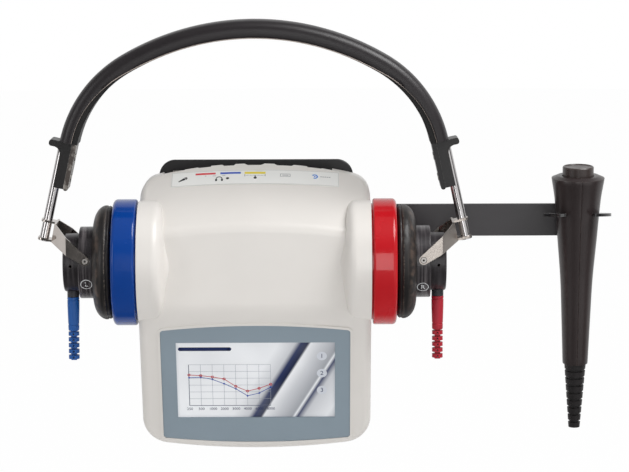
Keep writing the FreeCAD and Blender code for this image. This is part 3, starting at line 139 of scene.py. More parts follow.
class CushionLooks(bpy.types.PropertyGroup):
    skin: colour("Skin", "Soft skin of the ear cushions", rgb(24, 21, 21))
    swell: length("Swell", "How far the filling may push the skin out", 0.0012, 0.0, 0.004)
    pressure: number("Pressure", "Filling pressure of the cushion", 4.0, high=20.0)


class SwitchLooks(bpy.types.PropertyGroup):
    grip: colour("Grip", "Matte plastic of the handswitch", rgb(48, 40, 40))
    seam: length("Seam", "Depth of the groove where the halves meet", 0.00028, 0.0, 0.001)


class StageLooks(bpy.types.PropertyGroup):
    floor: length("Floor", "Height of the floor", -0.42, -2.0, 0.0)
    key: number("Key", "Power of the soft light above on the right", 40.0, unit="POWER")
    fill: number("Fill", "Power of the soft light on the left", 4.0, unit="POWER")
    front: number("Front", "Power of the tall light beside the camera", 3.7, unit="POWER")
    surround: number("Surround", "Level of the pale room light", 0.30, high=2.0)
    distance: length("Distance", "Camera to the middle of the device", 1.6, 0.3, 5.0)
    elevation: FloatProperty(name="Elevation", description="Camera above the horizon",
                             default=math.radians(7.5), subtype="ANGLE")
    lens: number("Lens", "Focal length of the camera", 150.1, low=10.0, unit="CAMERA")


# ---------------------------------------------------------------- node building
def add(tree, kind, inputs=None, **settings):
    """New node; inputs maps a socket's name or number to a value or to another node's output."""
    node = tree.nodes.new(kind)
    for key, value in settings.items():
        setattr(node, key, value)
    for key, value in (inputs or {}).items():
        connect(tree, node.inputs[key], value)
    return node


def result(tree, kind, inputs=None, **settings):
    """First output of a new node."""
    return add(tree, kind, inputs, **settings).outputs[0]


def connect(tree, socket, value):
    """Link an output to a socket, or set the socket's value."""
    if isinstance(value, bpy.types.NodeSocket):
        tree.links.new(value, socket)
        return
    if hasattr(socket.default_value, "__len__"):
        wanted = len(socket.default_value)
        value = tuple(value) + (1.0,) * (wanted - len(value))
    socket.default_value = value


def sums(tree, operation, *values):
    """Math node's result."""
    return result(tree, "ShaderNodeMath", dict(enumerate(values)), operation=operation)


def times(tree, value, factor):
    return sums(tree, "MULTIPLY", value, factor)


def noise_at(tree, place, scale, detail=2.0):
    """Level of a noise texture at a place."""
    return result(tree, "ShaderNodeTexNoise", {"Vector": place, "Scale": scale, "Detail": detail})


def cells_at(tree, place, scale, feature):
    """Level of a cell texture at a place."""
    return result(tree, "ShaderNodeTexVoronoi", {"Vector": place, "Scale": scale}, feature=feature)


def vectors(tree, operation, *values):
    """Vector math node's result."""
    return result(tree, "ShaderNodeVectorMath", dict(enumerate(values)), operation=operation)


def vector(tree, parts):
    """Vector from some of its parts, numbered 0 to 2."""
    return result(tree, "ShaderNodeCombineXYZ", parts)


def parts_of(tree, value):
    """The three parts of a vector."""
    return add(tree, "ShaderNodeSeparateXYZ", {0: value}).outputs


def spread(tree, value, low, high, start=0.0, end=1.0):
    """Value between start and end, spread to low and high."""
    names = ("Value", "From Min", "From Max", "To Min", "To Max")
    return result(tree, "ShaderNodeMapRange", dict(zip(names, (value, start, end, low, high))))


def mixed(tree, share, one, two):
    """Colour mixed from two by share."""
    return add(tree, "ShaderNodeMix", {0: share, 6: one, 7: two}, data_type="RGBA").outputs[2]


def between(tree, share, one, two):
    """Number mixed from two by share."""
    return result(tree, "ShaderNodeMix", {0: share, 2: one, 3: two})


def ramped(tree, value, stops):
    """Colour ramp's result at value; stops are (place, colour) in order."""
    node = add(tree, "ShaderNodeValToRGB", {0: value})
    band = node.color_ramp
    for place, _ in stops[1:-1]:
        band.elements.new(place)
    for element, (place, tint) in zip(band.elements, stops):
        element.position = place
        element.color = (*tint, 1.0)
    return node.outputs[0]


def place_of(tree):
    """Place on the piece, in metres in the part's frame."""
    return tree.nodes.new("ShaderNodeTexCoord").outputs["Object"]


def new_group(name, inputs, outputs, kind="ShaderNodeTree"):
    """Node group with named inputs and outputs, its input sockets and its output node."""
    tree = bpy.data.node_groups.new(name, kind)
    for label, socket, value in inputs:
        made = tree.interface.new_socket(label, in_out="INPUT", socket_type=socket)
        if value is not None:
            made.default_value = value
    for label, socket in outputs:
        tree.interface.new_socket(label, in_out="OUTPUT", socket_type=socket)
    source = tree.nodes.new("NodeGroupInput").outputs
    return tree, source, tree.nodes.new("NodeGroupOutput").inputs


VECTOR, FLOAT, WHOLE = "NodeSocketVector", "NodeSocketFloat", "NodeSocketInt"
GEOMETRY = "NodeSocketGeometry"
GROUPS = {}


def moulded_grain():
    """Fine even grain of moulded or sprayed skins, with a slow drift of tone."""
    tree, given, out = new_group("moulded_grain", [("Vector", VECTOR, None), ("Size", FLOAT, 0.0005)],
                                 [("Height", FLOAT), ("Tone", FLOAT)])
    scale = sums(tree, "DIVIDE", 1.0, given["Size"])
    fine = noise_at(tree, given["Vector"], scale, 3.0)
    cells = cells_at(tree, given["Vector"], scale, "SMOOTH_F1")
    slow = noise_at(tree, given["Vector"], 22.0, 4.0)
    tree.links.new(sums(tree, "MULTIPLY_ADD", fine, 0.6, cells), out["Height"])
    tree.links.new(spread(tree, slow, 0.0, 1.0, 0.3, 0.7), out["Tone"])
    return tree


def skin_creases():
    """Grain of vinyl and soft rubber skin: small cells with creases between them."""
    tree, given, out = new_group("skin_creases", [("Vector", VECTOR, None), ("Size", FLOAT, 0.001)],
                                 [("Height", FLOAT), ("Tone", FLOAT)])
    scale = sums(tree, "DIVIDE", 1.0, given["Size"])
    bent = add(tree, "ShaderNodeTexNoise", {"Vector": given["Vector"], "Scale": 180.0, "Detail": 2.0})
    shift = vectors(tree, "MULTIPLY", bent.outputs["Color"], (0.0009,) * 3)
    place = vectors(tree, "ADD", given["Vector"], shift)
    height = spread(tree, cells_at(tree, place, scale, "DISTANCE_TO_EDGE"), 0.0, 1.0, 0.0, 0.22)
    slow = noise_at(tree, given["Vector"], 35.0, 5.0)
    tree.links.new(height, out["Height"])
    tree.links.new(spread(tree, slow, 0.0, 1.0, 0.3, 0.7), out["Tone"])
    return tree


def drawn_lines():
    """Fine parallel lines of drawn or brushed metal; Stretch is the direction across the lines."""
    names = [("Vector", VECTOR, None), ("Stretch", VECTOR, (1.0, 1.0, 0.03)), ("Count", FLOAT, 3000.0)]
    tree, given, out = new_group("drawn_lines", names, [("Height", FLOAT), ("Tone", FLOAT)])
    place = vectors(tree, "MULTIPLY", given["Vector"], given["Stretch"])
    slow = noise_at(tree, given["Vector"], 90.0, 5.0)
    tree.links.new(noise_at(tree, place, given["Count"], 4.0), out["Height"])
    tree.links.new(spread(tree, slow, 0.0, 1.0, 0.35, 0.7), out["Tone"])
    return tree


def edge_wear_and_highlight():
    """Mask of rubbed edges broken up by noise: real wear, and on some finishes a painted highlight."""
    names = [("Vector", VECTOR, None), ("Radius", FLOAT, 0.0005), ("Amount", FLOAT, 0.5)]
    tree, given, out = new_group("edge_wear_and_highlight", names, [("Mask", FLOAT)])
    soft = result(tree, "ShaderNodeBevel", {"Radius": given["Radius"]}, samples=4)
    plain = tree.nodes.new("ShaderNodeNewGeometry")
    facing = add(tree, "ShaderNodeVectorMath", {0: soft, 1: plain.outputs["Normal"]},
                 operation="DOT_PRODUCT")
    edge = spread(tree, facing.outputs["Value"], 1.0, 0.0, 0.80, 0.995)
    broken = spread(tree, noise_at(tree, given["Vector"], 900.0, 4.0), 0.0, 1.0, 0.42, 0.62)
    tree.links.new(times(tree, times(tree, edge, broken), given["Amount"]), out["Mask"])
    return tree


def studio_levels():
    """Level of the room seen in gloss, by direction: two tall soft panels in front, a dark camera
    side, and white behind and overhead."""
    tree, given, out = new_group("studio_levels", [("Vector", VECTOR, None)], [("Level", FLOAT)])
    x, y, z = parts_of(tree, vectors(tree, "NORMALIZE", given["Vector"]))
    front = times(tree, y, -1.0)

    def around(side, stops):
        turn = spread(tree, sums(tree, "ARCTAN2", side, front), 0.0, 1.0, -math.pi, math.pi)
        return ramped(tree, turn, [(degrees / 360 + 0.5, (level,) * 3) for degrees, level in stops])

    level = around(x, (
        (-180, 0.8), (-104, 0.8), (-92, 0.10), (-72, 0.08), (-64, 0.80), (-36, 0.72), (-28, 0.06), (-8, 0.06),
        (2, 0.30), (8, 0.10), (16, 0.85), (58, 1.0), (66, 0.12), (88, 0.10), (98, 0.8), (180, 0.8)))
    arc = around(z, (
        (-180, 0.8), (-118, 0.55), (-104, 0.34), (-100, 0.06), (-88, 0.06), (-84, 0.16), (-40, 0.06),
        (0, 0.05), (30, 0.08), (52, 0.28), (100, 0.40), (115, 0.42), (118, 0.06), (127, 0.06), (131, 0.62),
        (180, 0.8)))
    share = spread(tree, sums(tree, "ABSOLUTE", z), 0.0, 1.0, 0.18, 0.55)
    tree.links.new(between(tree, share, level, arc), out["Level"])
    return tree


def group_node(tree, maker, inputs):
    """Places a shared group in a material; each group is built once."""
    if maker.__name__ not in GROUPS:
        GROUPS[maker.__name__] = maker()
    node = tree.nodes.new("ShaderNodeGroup")
    node.node_tree = GROUPS[maker.__name__]
    for key, value in inputs.items():
        connect(tree, node.inputs[key], value)
    return node.outputs


# ---------------------------------------------------------------- finishes
def shader(material):
    return next(n for n in material.node_tree.nodes if n.type == "BSDF_PRINCIPLED")


def new_material(name):
    """Material with its node tree and its shader."""
    material = bpy.data.materials.new(name)
    material.use_nodes = True
    return material, material.node_tree, shader(material)


def overlaid(material, share, tint):
    """Lays a tint over the material's base colour."""
    tree, base = material.node_tree, shader(material).inputs["Base Color"]
    connect(tree, base, mixed(tree, share, base.links[0].from_socket, tint))


def finish(name, tint, rough, grain=moulded_grain, size=0.0005, depth=0.00001, shade=0.06, drift=0.05,
           wear_and_highlight=None, wear_and_highlight_amount=0.0, streaks_and_sheen=None, metallic=0.0, coat=0.0, coat_rough=0.05, specular=0.5,
           **given):
    """Procedural material: tint and roughness drift with the grain's tone, the grain is a bump,
    the edge colour shows on rubbed edges, as wear on most finishes and as a painted highlight on some,
    and the streak overlay is (colour, amount, stretch, count) of fine lighter lines: lines rubbed into the
    skin, and on some finishes a painted sheen."""
    material, tree, bsdf = new_material(name)
    place = place_of(tree)
    inputs = {"Vector": place, **given}
    if grain is not drawn_lines:
        inputs["Size"] = size
    skin = group_node(tree, grain, inputs)
    dark = tuple(c * (1 - shade) for c in tint)
    light = tuple(min(1.0, c * (1 + shade)) for c in tint)
    connect(tree, bsdf.inputs["Base Color"], mixed(tree, skin["Tone"], dark, light))
    # fine lighter lines: real lines in the skin, and on some finishes a painted sheen
    if streaks_and_sheen:
        streak_and_sheen_tint, amount, stretch, count = streaks_and_sheen
        lines = group_node(tree, drawn_lines, {"Vector": place, "Stretch": stretch, "Count": count})["Height"]
        overlaid(material, spread(tree, lines, 0.0, amount, 0.48, 0.72), streak_and_sheen_tint)
    # edge colour: real wear, and on some finishes a painted highlight along the edges
    if wear_and_highlight:
        rubbed = group_node(tree, edge_wear_and_highlight, {"Vector": place, "Amount": wear_and_highlight_amount})["Mask"]
        overlaid(material, rubbed, wear_and_highlight)
    connect(tree, bsdf.inputs["Roughness"], spread(tree, skin["Tone"], rough - drift, rough + drift))
    for label, value in (
            ("Normal", result(tree, "ShaderNodeBump", {
                "Height": skin["Height"], "Distance": depth, "Strength": 0.7})),
            ("Metallic", metallic), ("Coat Weight", coat), ("Coat Roughness", coat_rough),
            ("Specular IOR Level", specular)):
        connect(tree, bsdf.inputs[label], value)
    return material


def dress(material, *nodes):
    """Gives CAD nodes a material."""
    for name in nodes:
        piece = NODES[name]
        piece.data.materials.clear()
        piece.data.materials.append(material)


def print_ink(name, tint, rough=0.35):
    """Screen-printed ink: even colour with slight mottle."""
    return finish(name, tint, rough, size=0.0003, depth=0.000002, shade=0.05, drift=0.04)


# ---------------------------------------------------------------- mesh building
def mesh_of(name, points, faces=(), edges=()):
    """Mesh from points in millimetres."""
    mesh = bpy.data.meshes.new(name)
    mesh.from_pydata([Vector(p) * MM for p in points], edges, faces)
    return mesh


def linked(name, data):
    """Object for some data, linked to the scene."""
    obj = bpy.data.objects.new(name, data)
    bpy.context.scene.collection.objects.link(obj)
    return obj


def placed_mesh(name, mesh, material, body, smooth=40.0):
    """Object for a mesh that is already in metres in the part's frame."""
    mesh.name = name
    obj = linked(name, mesh)
    if material:
        mesh.materials.clear()
        mesh.materials.append(material)
    mesh.polygons.foreach_set("use_smooth", [smooth > 0] * len(mesh.polygons))
    if smooth > 0:
        mesh.set_sharp_from_angle(angle=math.radians(smooth))
    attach(obj, body)
    return obj


def outward(mesh):
    """Merges doubles and points every face outwards."""
    work = bmesh.new()
    work.from_mesh(mesh)
    bmesh.ops.remove_doubles(work, verts=work.verts, dist=1e-7)
    bmesh.ops.recalc_face_normals(work, faces=work.faces)
    work.to_mesh(mesh)
    work.free()
    mesh.update()
    return mesh


def grid_faces(rows, columns, round_rows=True):
    """Quads of a net of points, closed along its columns and, where asked, its rows."""
    faces = []
    for i in range(rows if round_rows else rows - 1):
        for j in range(columns):
            a, b = i * columns + j, i * columns + (j + 1) % columns
            k = ((i + 1) % rows) * columns
            faces.append((a, b, k + (j + 1) % columns, k + j))
    return faces


def swept_faces(rows, columns):
    """Faces of a closed outline swept from end to end, with both ends closed."""
    last = rows * columns
    return grid_faces(rows, columns, round_rows=False) + [
        tuple(range(columns)), tuple(range(last - 1, last - 1 - columns, -1))]


def lathe(name, profile, steps, at):
    """Mesh of a closed (along, radius) profile turned round; at(along, radius, angle) gives the
    point."""
    points = [at(along, radius, 2 * math.pi * i / steps) for i in range(steps) for along, radius in profile]
    return mesh_of(name, points, grid_faces(steps, len(profile)))


def divided(outline, longest):
    """Closed outline whose sides longer than the given length get evenly spaced points."""
    made = []
    for here, following in zip(outline, outline[1:] + outline[:1]):
        start, end = Vector(here), Vector(following)
        parts = max(1, math.ceil((end - start).length / longest))
        made += [tuple(start.lerp(end, i / parts)) for i in range(parts)]
    return made


def evaluated_mesh(obj):
    """Plain mesh of an object with its modifiers, after which the object is removed."""
    graph = bpy.context.evaluated_depsgraph_get()
    mesh = bpy.data.meshes.new_from_object(obj.evaluated_get(graph))
    bpy.data.objects.remove(obj)
    return mesh


def grown(tree, values, source=None):
    """Runs a geometry node tree with values for its named inputs and returns the plain mesh."""
    obj = linked("seed", source or bpy.data.meshes.new("seed"))
    modifier = obj.modifiers.new("nodes", "NODES")
    modifier.node_group = tree
    for item in tree.interface.items_tree:
        if item.item_type == "SOCKET" and item.in_out == "INPUT" and item.name in values:
            modifier[item.identifier] = values[item.name]
    return evaluated_mesh(obj)


# ---------------------------------------------------------------- the arch of the headband
def at_rod(u, a):
    """(x, z) of a point u outwards from the right rod's axis and a up along it."""
    return (ROD_FOOT[0] + u * math.cos(ROD_LEAN) - a * math.sin(ROD_LEAN),
            ROD_FOOT[1] + u * math.sin(ROD_LEAN) + a * math.cos(ROD_LEAN))


SHOULDER = at_rod(BAND_OUT - SHOULDER_R, BAND_END)
CROWN_DROP = math.sqrt((CROWN_R - SHOULDER_R) ** 2 - SHOULDER[0] ** 2)
JOINT = math.atan2(CROWN_DROP, SHOULDER[0])


def arch_point(angle, u, y):
    """Point of the arch where its outward direction is at angle from +X, u outwards from the rods'
    line and y off its middle plane."""
    reach = u - BAND_OUT
    if angle < JOINT:
        centre, radius = SHOULDER, SHOULDER_R
    elif angle > math.pi - JOINT:
        centre, radius = (-SHOULDER[0], SHOULDER[1]), SHOULDER_R
    else:
        centre, radius = (0.0, SHOULDER[1] - CROWN_DROP), CROWN_R
    return (centre[0] + (radius + reach) * math.cos(angle), CUP_Y + y,
            centre[1] + (radius + reach) * math.sin(angle))


def arch_angles(pitch):
    """Angles along the arch, about pitch millimetres apart on its outer face."""
    stops = [ROD_LEAN, JOINT, math.pi - JOINT, math.pi - ROD_LEAN]
    angles = []
    for start, end, radius in zip(stops, stops[1:], (SHOULDER_R, CROWN_R, SHOULDER_R)):
        count = max(2, round((end - start) * radius / pitch))
        angles += [start + (end - start) * i / count for i in range(count)]
    return angles + [stops[-1]]


# ---------------------------------------------------------------- filling of soft pieces
SIM_SCALE, SIM_FRAMES = 12.0, 20


def filled(mesh, held, pressure, limit):
    """Moves a closed mesh's points as its filling would: cloth under pressure, with the held
    points fixed and no point moved by more than limit millimetres."""
    scene = bpy.context.scene
    rest = [v.co.copy() for v in mesh.vertices]
    work = mesh.copy()
    work.transform(Matrix.Scale(SIM_SCALE, 4))
    obj = linked("filling", work)
    obj.vertex_groups.new(name="held").add(held, 1.0, "REPLACE")
    cloth = obj.modifiers.new("filling", "CLOTH")
    cloth.settings.quality = 6
    cloth.settings.use_pressure = True
    cloth.settings.uniform_pressure_force = pressure
    cloth.settings.vertex_group_mass = "held"
    cloth.settings.effector_weights.gravity = 0
    cloth.point_cache.frame_start, cloth.point_cache.frame_end = 1, SIM_FRAMES
    for number in range(1, SIM_FRAMES + 1):
        scene.frame_set(number)
    swollen = evaluated_mesh(obj)
    moves = [v.co / SIM_SCALE - r for v, r in zip(swollen.vertices, rest)]
    furthest = max(move.length for move in moves)
    share = min(1.0, limit * MM / furthest) if furthest > 0 else 0.0
    for vertex, start, move in zip(mesh.vertices, rest, moves):
        vertex.co = start + move * share
    bpy.data.meshes.remove(swollen)
    bpy.data.meshes.remove(work)
    scene.frame_set(1)
    mesh.update()
    return mesh


def subdivided(mesh):
    """Mesh after one Catmull-Clark subdivision."""
    obj = linked("smoothing", mesh)
    modifier = obj.modifiers.new("smooth", "SUBSURF")
    modifier.levels = modifier.render_levels = 1
    return evaluated_mesh(obj)


# ---------------------------------------------------------------- geometry node trees
def end_tree(tree, geometry, out, material):
    """Realize Instances and Set Material, the last two nodes of every tree."""
    plain = result(tree, "GeometryNodeRealizeInstances", {0: geometry})
    painted = result(tree, "GeometryNodeSetMaterial", {"Geometry": plain, "Material": material})
    tree.links.new(painted, out[0])


def geometry_group(name, inputs):
    return new_group(name, inputs, [("Geometry", GEOMETRY)], "GeometryNodeTree")


def cube(tree, size):
    return result(tree, "GeometryNodeMeshCube", {"Size": size})


def cylinder(tree, vertices, radius, depth):
    return result(tree, "GeometryNodeMeshCylinder", {"Vertices": vertices, "Radius": radius, "Depth": depth})


def moved(tree, shape, by):
    return result(tree, "GeometryNodeTransform", {"Geometry": shape, "Translation": by})


def repeated(tree, count, step):
    """Points in a row."""
    return result(tree, "GeometryNodeMeshLine", {"Count": count, "Offset": step}, mode="OFFSET")


def united(tree, one, two):
    both = add(tree, "GeometryNodeMeshBoolean", {1: one}, operation="UNION")
    tree.links.new(two, both.inputs[1])
    return both.outputs[0]


def cross_cut(tree, shape, long_side, short_side, tall):
    """Shape with two crossed boxes cut out of its middle."""
    for axis in (0, 1):
        size = vector(tree, {axis: long_side, 1 - axis: short_side, 2: tall})
        carve = add(tree, "GeometryNodeMeshBoolean", {0: shape}, operation="DIFFERENCE")
        tree.links.new(cube(tree, size), carve.inputs[1])
        shape = carve.outputs[0]
    return shape


def screw_tree(material):
    """Screws with a cross recess, one on each point of the given mesh, turned by Turn."""
    names = [("Geometry", GEOMETRY, None), ("Head Radius", FLOAT, 0.0028), ("Head Height", FLOAT, 0.0018),
             ("Shank Radius", FLOAT, 0.0015), ("Shank Length", FLOAT, 0.01), ("Recess", FLOAT, 0.0016),
             ("Turn", VECTOR, None)]
    tree, given, out = geometry_group("cross_screws", names)

    def drum(radius, depth, vertices):
        made = cylinder(tree, vertices, radius, depth)
        centre = vector(tree, {2: times(tree, depth, -0.5)})
        return moved(tree, made, centre)

    head = drum(given["Head Radius"], given["Head Height"], 40)
    shank = drum(given["Shank Radius"], sums(tree, "ADD", given["Shank Length"], given["Head Height"]), 24)
    recess = given["Recess"]
    shape = cross_cut(tree, united(tree, head, shank), times(tree, recess, 2.0), times(tree, recess, 0.38),
                      given["Head Height"])
    placed = result(tree, "GeometryNodeInstanceOnPoints", {
        "Points": given["Geometry"], "Instance": shape, "Rotation": given["Turn"]})
    end_tree(tree, placed, out, material)
    return tree


def bead_tree(material):
    """Round bead along the edges of the given mesh."""
    tree, given, out = geometry_group("edge_bead", [("Geometry", GEOMETRY, None), ("Radius", FLOAT, 0.0005)])
    path = result(tree, "GeometryNodeMeshToCurve", {"Mesh": given["Geometry"]})
    ring = result(tree, "GeometryNodeCurvePrimitiveCircle", {"Resolution": 10, "Radius": given["Radius"]})
    tube = result(tree, "GeometryNodeCurveToMesh", {
        "Curve": path, "Profile Curve": ring, "Fill Caps": True})
    smooth = result(tree, "GeometryNodeSetShadeSmooth", {"Geometry": tube})
    end_tree(tree, smooth, out, material)
    return tree


def chart_tree(material):
    """Lines of a chart: upright and level bars, evenly spaced over Width and Height."""
    names = [("Columns", WHOLE, 7), ("Rows", WHOLE, 6), ("Width", FLOAT, 0.06),
             ("Height", FLOAT, 0.03), ("Line", FLOAT, 0.0002), ("Thickness", FLOAT, 0.00003)]
    tree, given, out = geometry_group("chart_lines", names)
    joined = tree.nodes.new("GeometryNodeJoinGeometry")
    for count, along, across, axis in ((given["Columns"], "Width", "Height", 0),
                                       (given["Rows"], "Height", "Width", 1)):
        step = vector(tree, {axis: sums(tree, "DIVIDE", given[along], count)})
        size = vector(tree, {axis: given["Line"], 1 - axis: given[across], 2: given["Thickness"]})
        middle = vector(tree, {1 - axis: times(tree, given[across], 0.5)})
        line = moved(tree, cube(tree, size), middle)
        points = repeated(tree, sums(tree, "ADD", count, 1.0), step)
        row = result(tree, "GeometryNodeInstanceOnPoints", {"Points": points, "Instance": line})
        tree.links.new(row, joined.inputs[0])
    end_tree(tree, joined.outputs[0], out, material)
    return tree


def link_tree(material):
    """Chain of flat rounded links below a plug's grip, each with a window cut through it."""
    names = [("Count", WHOLE, 5), ("Pitch", FLOAT, 0.0036), ("Radius", FLOAT, 0.0033),
             ("Neck", FLOAT, 0.0034), ("Window", FLOAT, 0.0011)]
    tree, given, out = geometry_group("cord_links", names)
    pitch = given["Pitch"]
    drum = cylinder(tree, 28, given["Radius"], times(tree, pitch, 0.62))
    size = vector(tree, {0: given["Neck"], 1: given["Neck"], 2: times(tree, pitch, 1.02)})
    shape = cross_cut(tree, united(tree, drum, cube(tree, size)), times(tree, given["Radius"], 4.0),
                      given["Window"], times(tree, pitch, 0.30))
    step = vector(tree, {2: times(tree, pitch, -1.0)})
    points = repeated(tree, given["Count"], step)
    chain = result(tree, "GeometryNodeInstanceOnPoints", {"Points": points, "Instance": shape})
    end_tree(tree, chain, out, material)
    return tree


def screws(name, tree, places, turn, shank, head_t, body, node):
    """Cross-recess screws on the given head places, standing for the CAD node's screws."""
    values = {"Head Radius": SCREW_HEAD_R * MM, "Head Height": head_t * MM, "Shank Radius": SCREW_R * MM,
              "Shank Length": shank * MM, "Turn": turn}
    mesh = grown(tree, values, mesh_of("points", places))
    obj = placed_mesh(name, mesh, None, body, 35.0)
    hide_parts(node)


# ---------------------------------------------------------------- flat prints
PRINT_GAP, PRINT_T = 0.01, 0.03


def bar(x0, x1, y0, y1, parts=1):
    """Rectangle, cut into parts along x."""
    step = (x1 - x0) / parts
    return [[(x0 + i * step, y0), (x0 + (i + 1) * step, y0), (x0 + (i + 1) * step, y1), (x0 + i * step, y1)]
            for i in range(parts)]


def disc(x, y, radius, sides=24):
    """Regular polygon."""
    return [[(x + radius * math.cos(2 * math.pi * i / sides), y + radius * math.sin(2 * math.pi * i / sides))
             for i in range(sides)]]


def ring(x, y, inner, outer, start=0.0, end=360.0, parts=24):
    """Ring or part of one, angles in degrees."""
    rays = []
    for i in range(parts + 1):
        angle = math.radians(start + (end - start) * i / parts)
        rays.append((math.cos(angle), math.sin(angle)))
    return [[(x + inner * a[0], y + inner * a[1]), (x + outer * a[0], y + outer * a[1]),
             (x + outer * b[0], y + outer * b[1]), (x + inner * b[0], y + inner * b[1])]
            for a, b in zip(rays, rays[1:])]


def stroke(points, width):
    """Line through points as a strip of quads."""
    rails = []
    for i, here in enumerate(points):
        before, after = points[max(i - 1, 0)], points[min(i + 1, len(points) - 1)]
        run = Vector((after[0] - before[0], after[1] - before[1])).normalized()
        across = Vector((-run.y, run.x)) * width / 2
        rails.append(((here[0] + across.x, here[1] + across.y), (here[0] - across.x, here[1] - across.y)))
    return [[a[0], b[0], b[1], a[1]] for a, b in zip(rails, rails[1:])]


def printed(name, polygons, place, thickness, ink, body="console"):
    """Raised print: flat polygons given a thickness on a surface; place(x, y, height) gives the
    point in millimetres."""
    work = bmesh.new()
    for polygon in polygons:
        work.faces.new([work.verts.new((x, y, 0.0)) for x, y in polygon])
    bmesh.ops.remove_doubles(work, verts=work.verts, dist=1e-4)
    made = bmesh.ops.extrude_face_region(work, geom=work.faces[:])
    raised = {v for v in made["geom"] if isinstance(v, bmesh.types.BMVert)}
    for vertex in work.verts:
        vertex.co = Vector(place(vertex.co.x, vertex.co.y, thickness if vertex in raised else 0.0)) * MM
    bmesh.ops.recalc_face_normals(work, faces=work.faces)
    mesh = bpy.data.meshes.new(name)
    work.to_mesh(mesh)
    work.free()
    return placed_mesh(name, mesh, ink, body, 0)


def numeral(text, x, y, size):
    """Mesh of a number, in flat print coordinates, centred on (x, y)."""
    curve = bpy.data.curves.new("numeral", "FONT")
    curve.body = text
    curve.size = size
    curve.align_x, curve.align_y = "CENTER", "CENTER"
    curve.resolution_u = 3
    mesh = evaluated_mesh(linked("numeral", curve))
    polygons = [[(mesh.vertices[i].co.x + x, mesh.vertices[i].co.y + y) for i in face.vertices]
                for face in mesh.polygons]
    bpy.data.meshes.remove(mesh)
    return polygons


DISPLAY_MATRIX = Matrix.Translation(DISPLAY_AT) @ Euler(DISPLAY_TURN).to_matrix().to_4x4()


def on_glass(x, y, height):
    """Place on the touch panel, from its middle."""
    return DISPLAY_MATRIX @ Vector((x, y, GLASS_TOP + PRINT_GAP + height))


def on_strip(x, down, height):
    """Place on the crowned top face: x across, down along the slope."""
    along = Vector((0, -math.cos(SLOPE), -math.sin(SLOPE)))
    up = Vector((0, -math.sin(SLOPE), math.cos(SLOPE)))
    radius = SLOPE_CROWN_R + STRIP_TOP + PRINT_GAP + height
    turn = math.asin(x / radius)
    start = Vector((0, SLOPE_START[0], SLOPE_START[1]))
    outwards = Vector((1, 0, 0)) * math.sin(turn) + up * math.cos(turn)
    return start + along * down - up * SLOPE_CROWN_R + outwards * radius


# ---------------------------------------------------------------- finishes that depend on place
def zoned(name, tint, rough, other, below, metallic=0.0, **more):
    """Finish with a second colour, of no metal, below a height in millimetres."""
    material = finish(name, tint, rough, **more)
    tree = material.node_tree
    share = sums(tree, "LESS_THAN", parts_of(tree, place_of(tree))[2], below * MM)
    overlaid(material, share, other)
    connect(tree, shader(material).inputs["Metallic"], spread(tree, share, metallic, 0.0))
    return material


def screen_picture(looks):
    """Lit picture under glass: pale ground with straight soft bands of navy and grey."""
    material, tree, bsdf = new_material("screen_picture")
    flat = result(tree, "ShaderNodeMapping", {
        "Vector": place_of(tree), "Location": Vector(DISPLAY_AT) * MM, "Rotation": DISPLAY_TURN,
        "Scale": (MM, MM, MM)}, vector_type="TEXTURE")
    x, y, _ = parts_of(tree, flat)
    slant = sums(tree, "MULTIPLY_ADD", y, -0.55, x)
    position = spread(tree, slant, 0.0, 1.0, -70.0, 66.0)
    white, navy, grey = tuple(looks.ground), tuple(looks.navy), tuple(looks.grey)
    pale = tuple((a + b) / 2 for a, b in zip(white, grey))
    deep = tuple(c * 0.45 for c in navy)
    stops = ((0.0, white), (0.50, white), (0.575, pale), (0.60, navy), (0.635, deep), (0.645, white),
             (0.70, pale), (0.775, grey), (0.785, white), (0.80, navy), (0.83, pale), (0.93, white),
             (1.0, grey))
    cloud = noise_at(tree, flat, 0.03, 1.0)
    picture = mixed(tree, spread(tree, cloud, 0.0, 0.16, 0.35, 0.7), ramped(tree, position, stops), grey)
    connect(tree, bsdf.inputs["Base Color"], picture)
    connect(tree, bsdf.inputs["Emission Color"], picture)
    bsdf.inputs["Emission Strength"].default_value = 0.12
    connect(tree, bsdf.inputs["Roughness"], spread(tree, noise_at(tree, flat, 0.08, 4.0), 0.10, 0.22))
    bsdf.inputs["Coat Weight"].default_value = 0.3
    return material


def steel_finish(name, tint, rough, stretch=(1.0, 1.0, 0.03), count=2500.0, depth=0.000002, **more):
    """Drawn or polished metal with fine parallel lines."""
    return finish(name, tint, rough, grain=drawn_lines, depth=depth, metallic=1.0,
                  Stretch=stretch, Count=count, **more)


class Maker:
    """What every operator of this add-on shares."""
    bl_options = {"REGISTER", "UNDO"}

    def execute(self, context):
        self.make(context.scene)
        return {"FINISHED"}


# ---------------------------------------------------------------- operators
class AUDIOMETER_OT_bracket(Maker, bpy.types.Operator):
    """Powder-coated wall plate, arm and fork with their studs and rivets"""
    bl_idname = "audiometer.bracket"
    bl_label = "Wall bracket"

    def make(self, scene):
        looks = scene.audiometer_bracket
        coat = finish("powder_coat", looks.paint, 0.46, size=looks.speckle, depth=0.00002, shade=0.12,
                      drift=0.06, wear_and_highlight=rgb(120, 118, 116), wear_and_highlight_amount=0.35)
        dress(coat, "wall_plate")
        # painted light: a lighter copy of the black coat for the light on the arm; the pale edge tint is
        # partly wear and partly a painted highlight on its lit edges
        dress(finish("arm_coat_with_painted_light", looks.arm, 0.40, size=looks.speckle, depth=0.00001, shade=0.10, drift=0.05,
                     wear_and_highlight=rgb(140, 136, 134), wear_and_highlight_amount=0.3), "hanger_arm")
        # painted highlight: the pale edge tint is partly wear and partly a painted highlight along the lit
        # edges
        dress(finish("fork_enamel", rgb(22, 21, 23), 0.28, size=0.0004, depth=0.000006, coat=0.3,
                     wear_and_highlight=rgb(150, 148, 146), wear_and_highlight_amount=0.6), "switch_fork")
        dress(steel_finish("stud_steel", rgb(176, 174, 170), 0.26), "plate_studs")
        dress(finish("blackened_rivets", rgb(30, 28, 28), 0.38, depth=0.000008, metallic=0.6),
              "bracket_rivets")


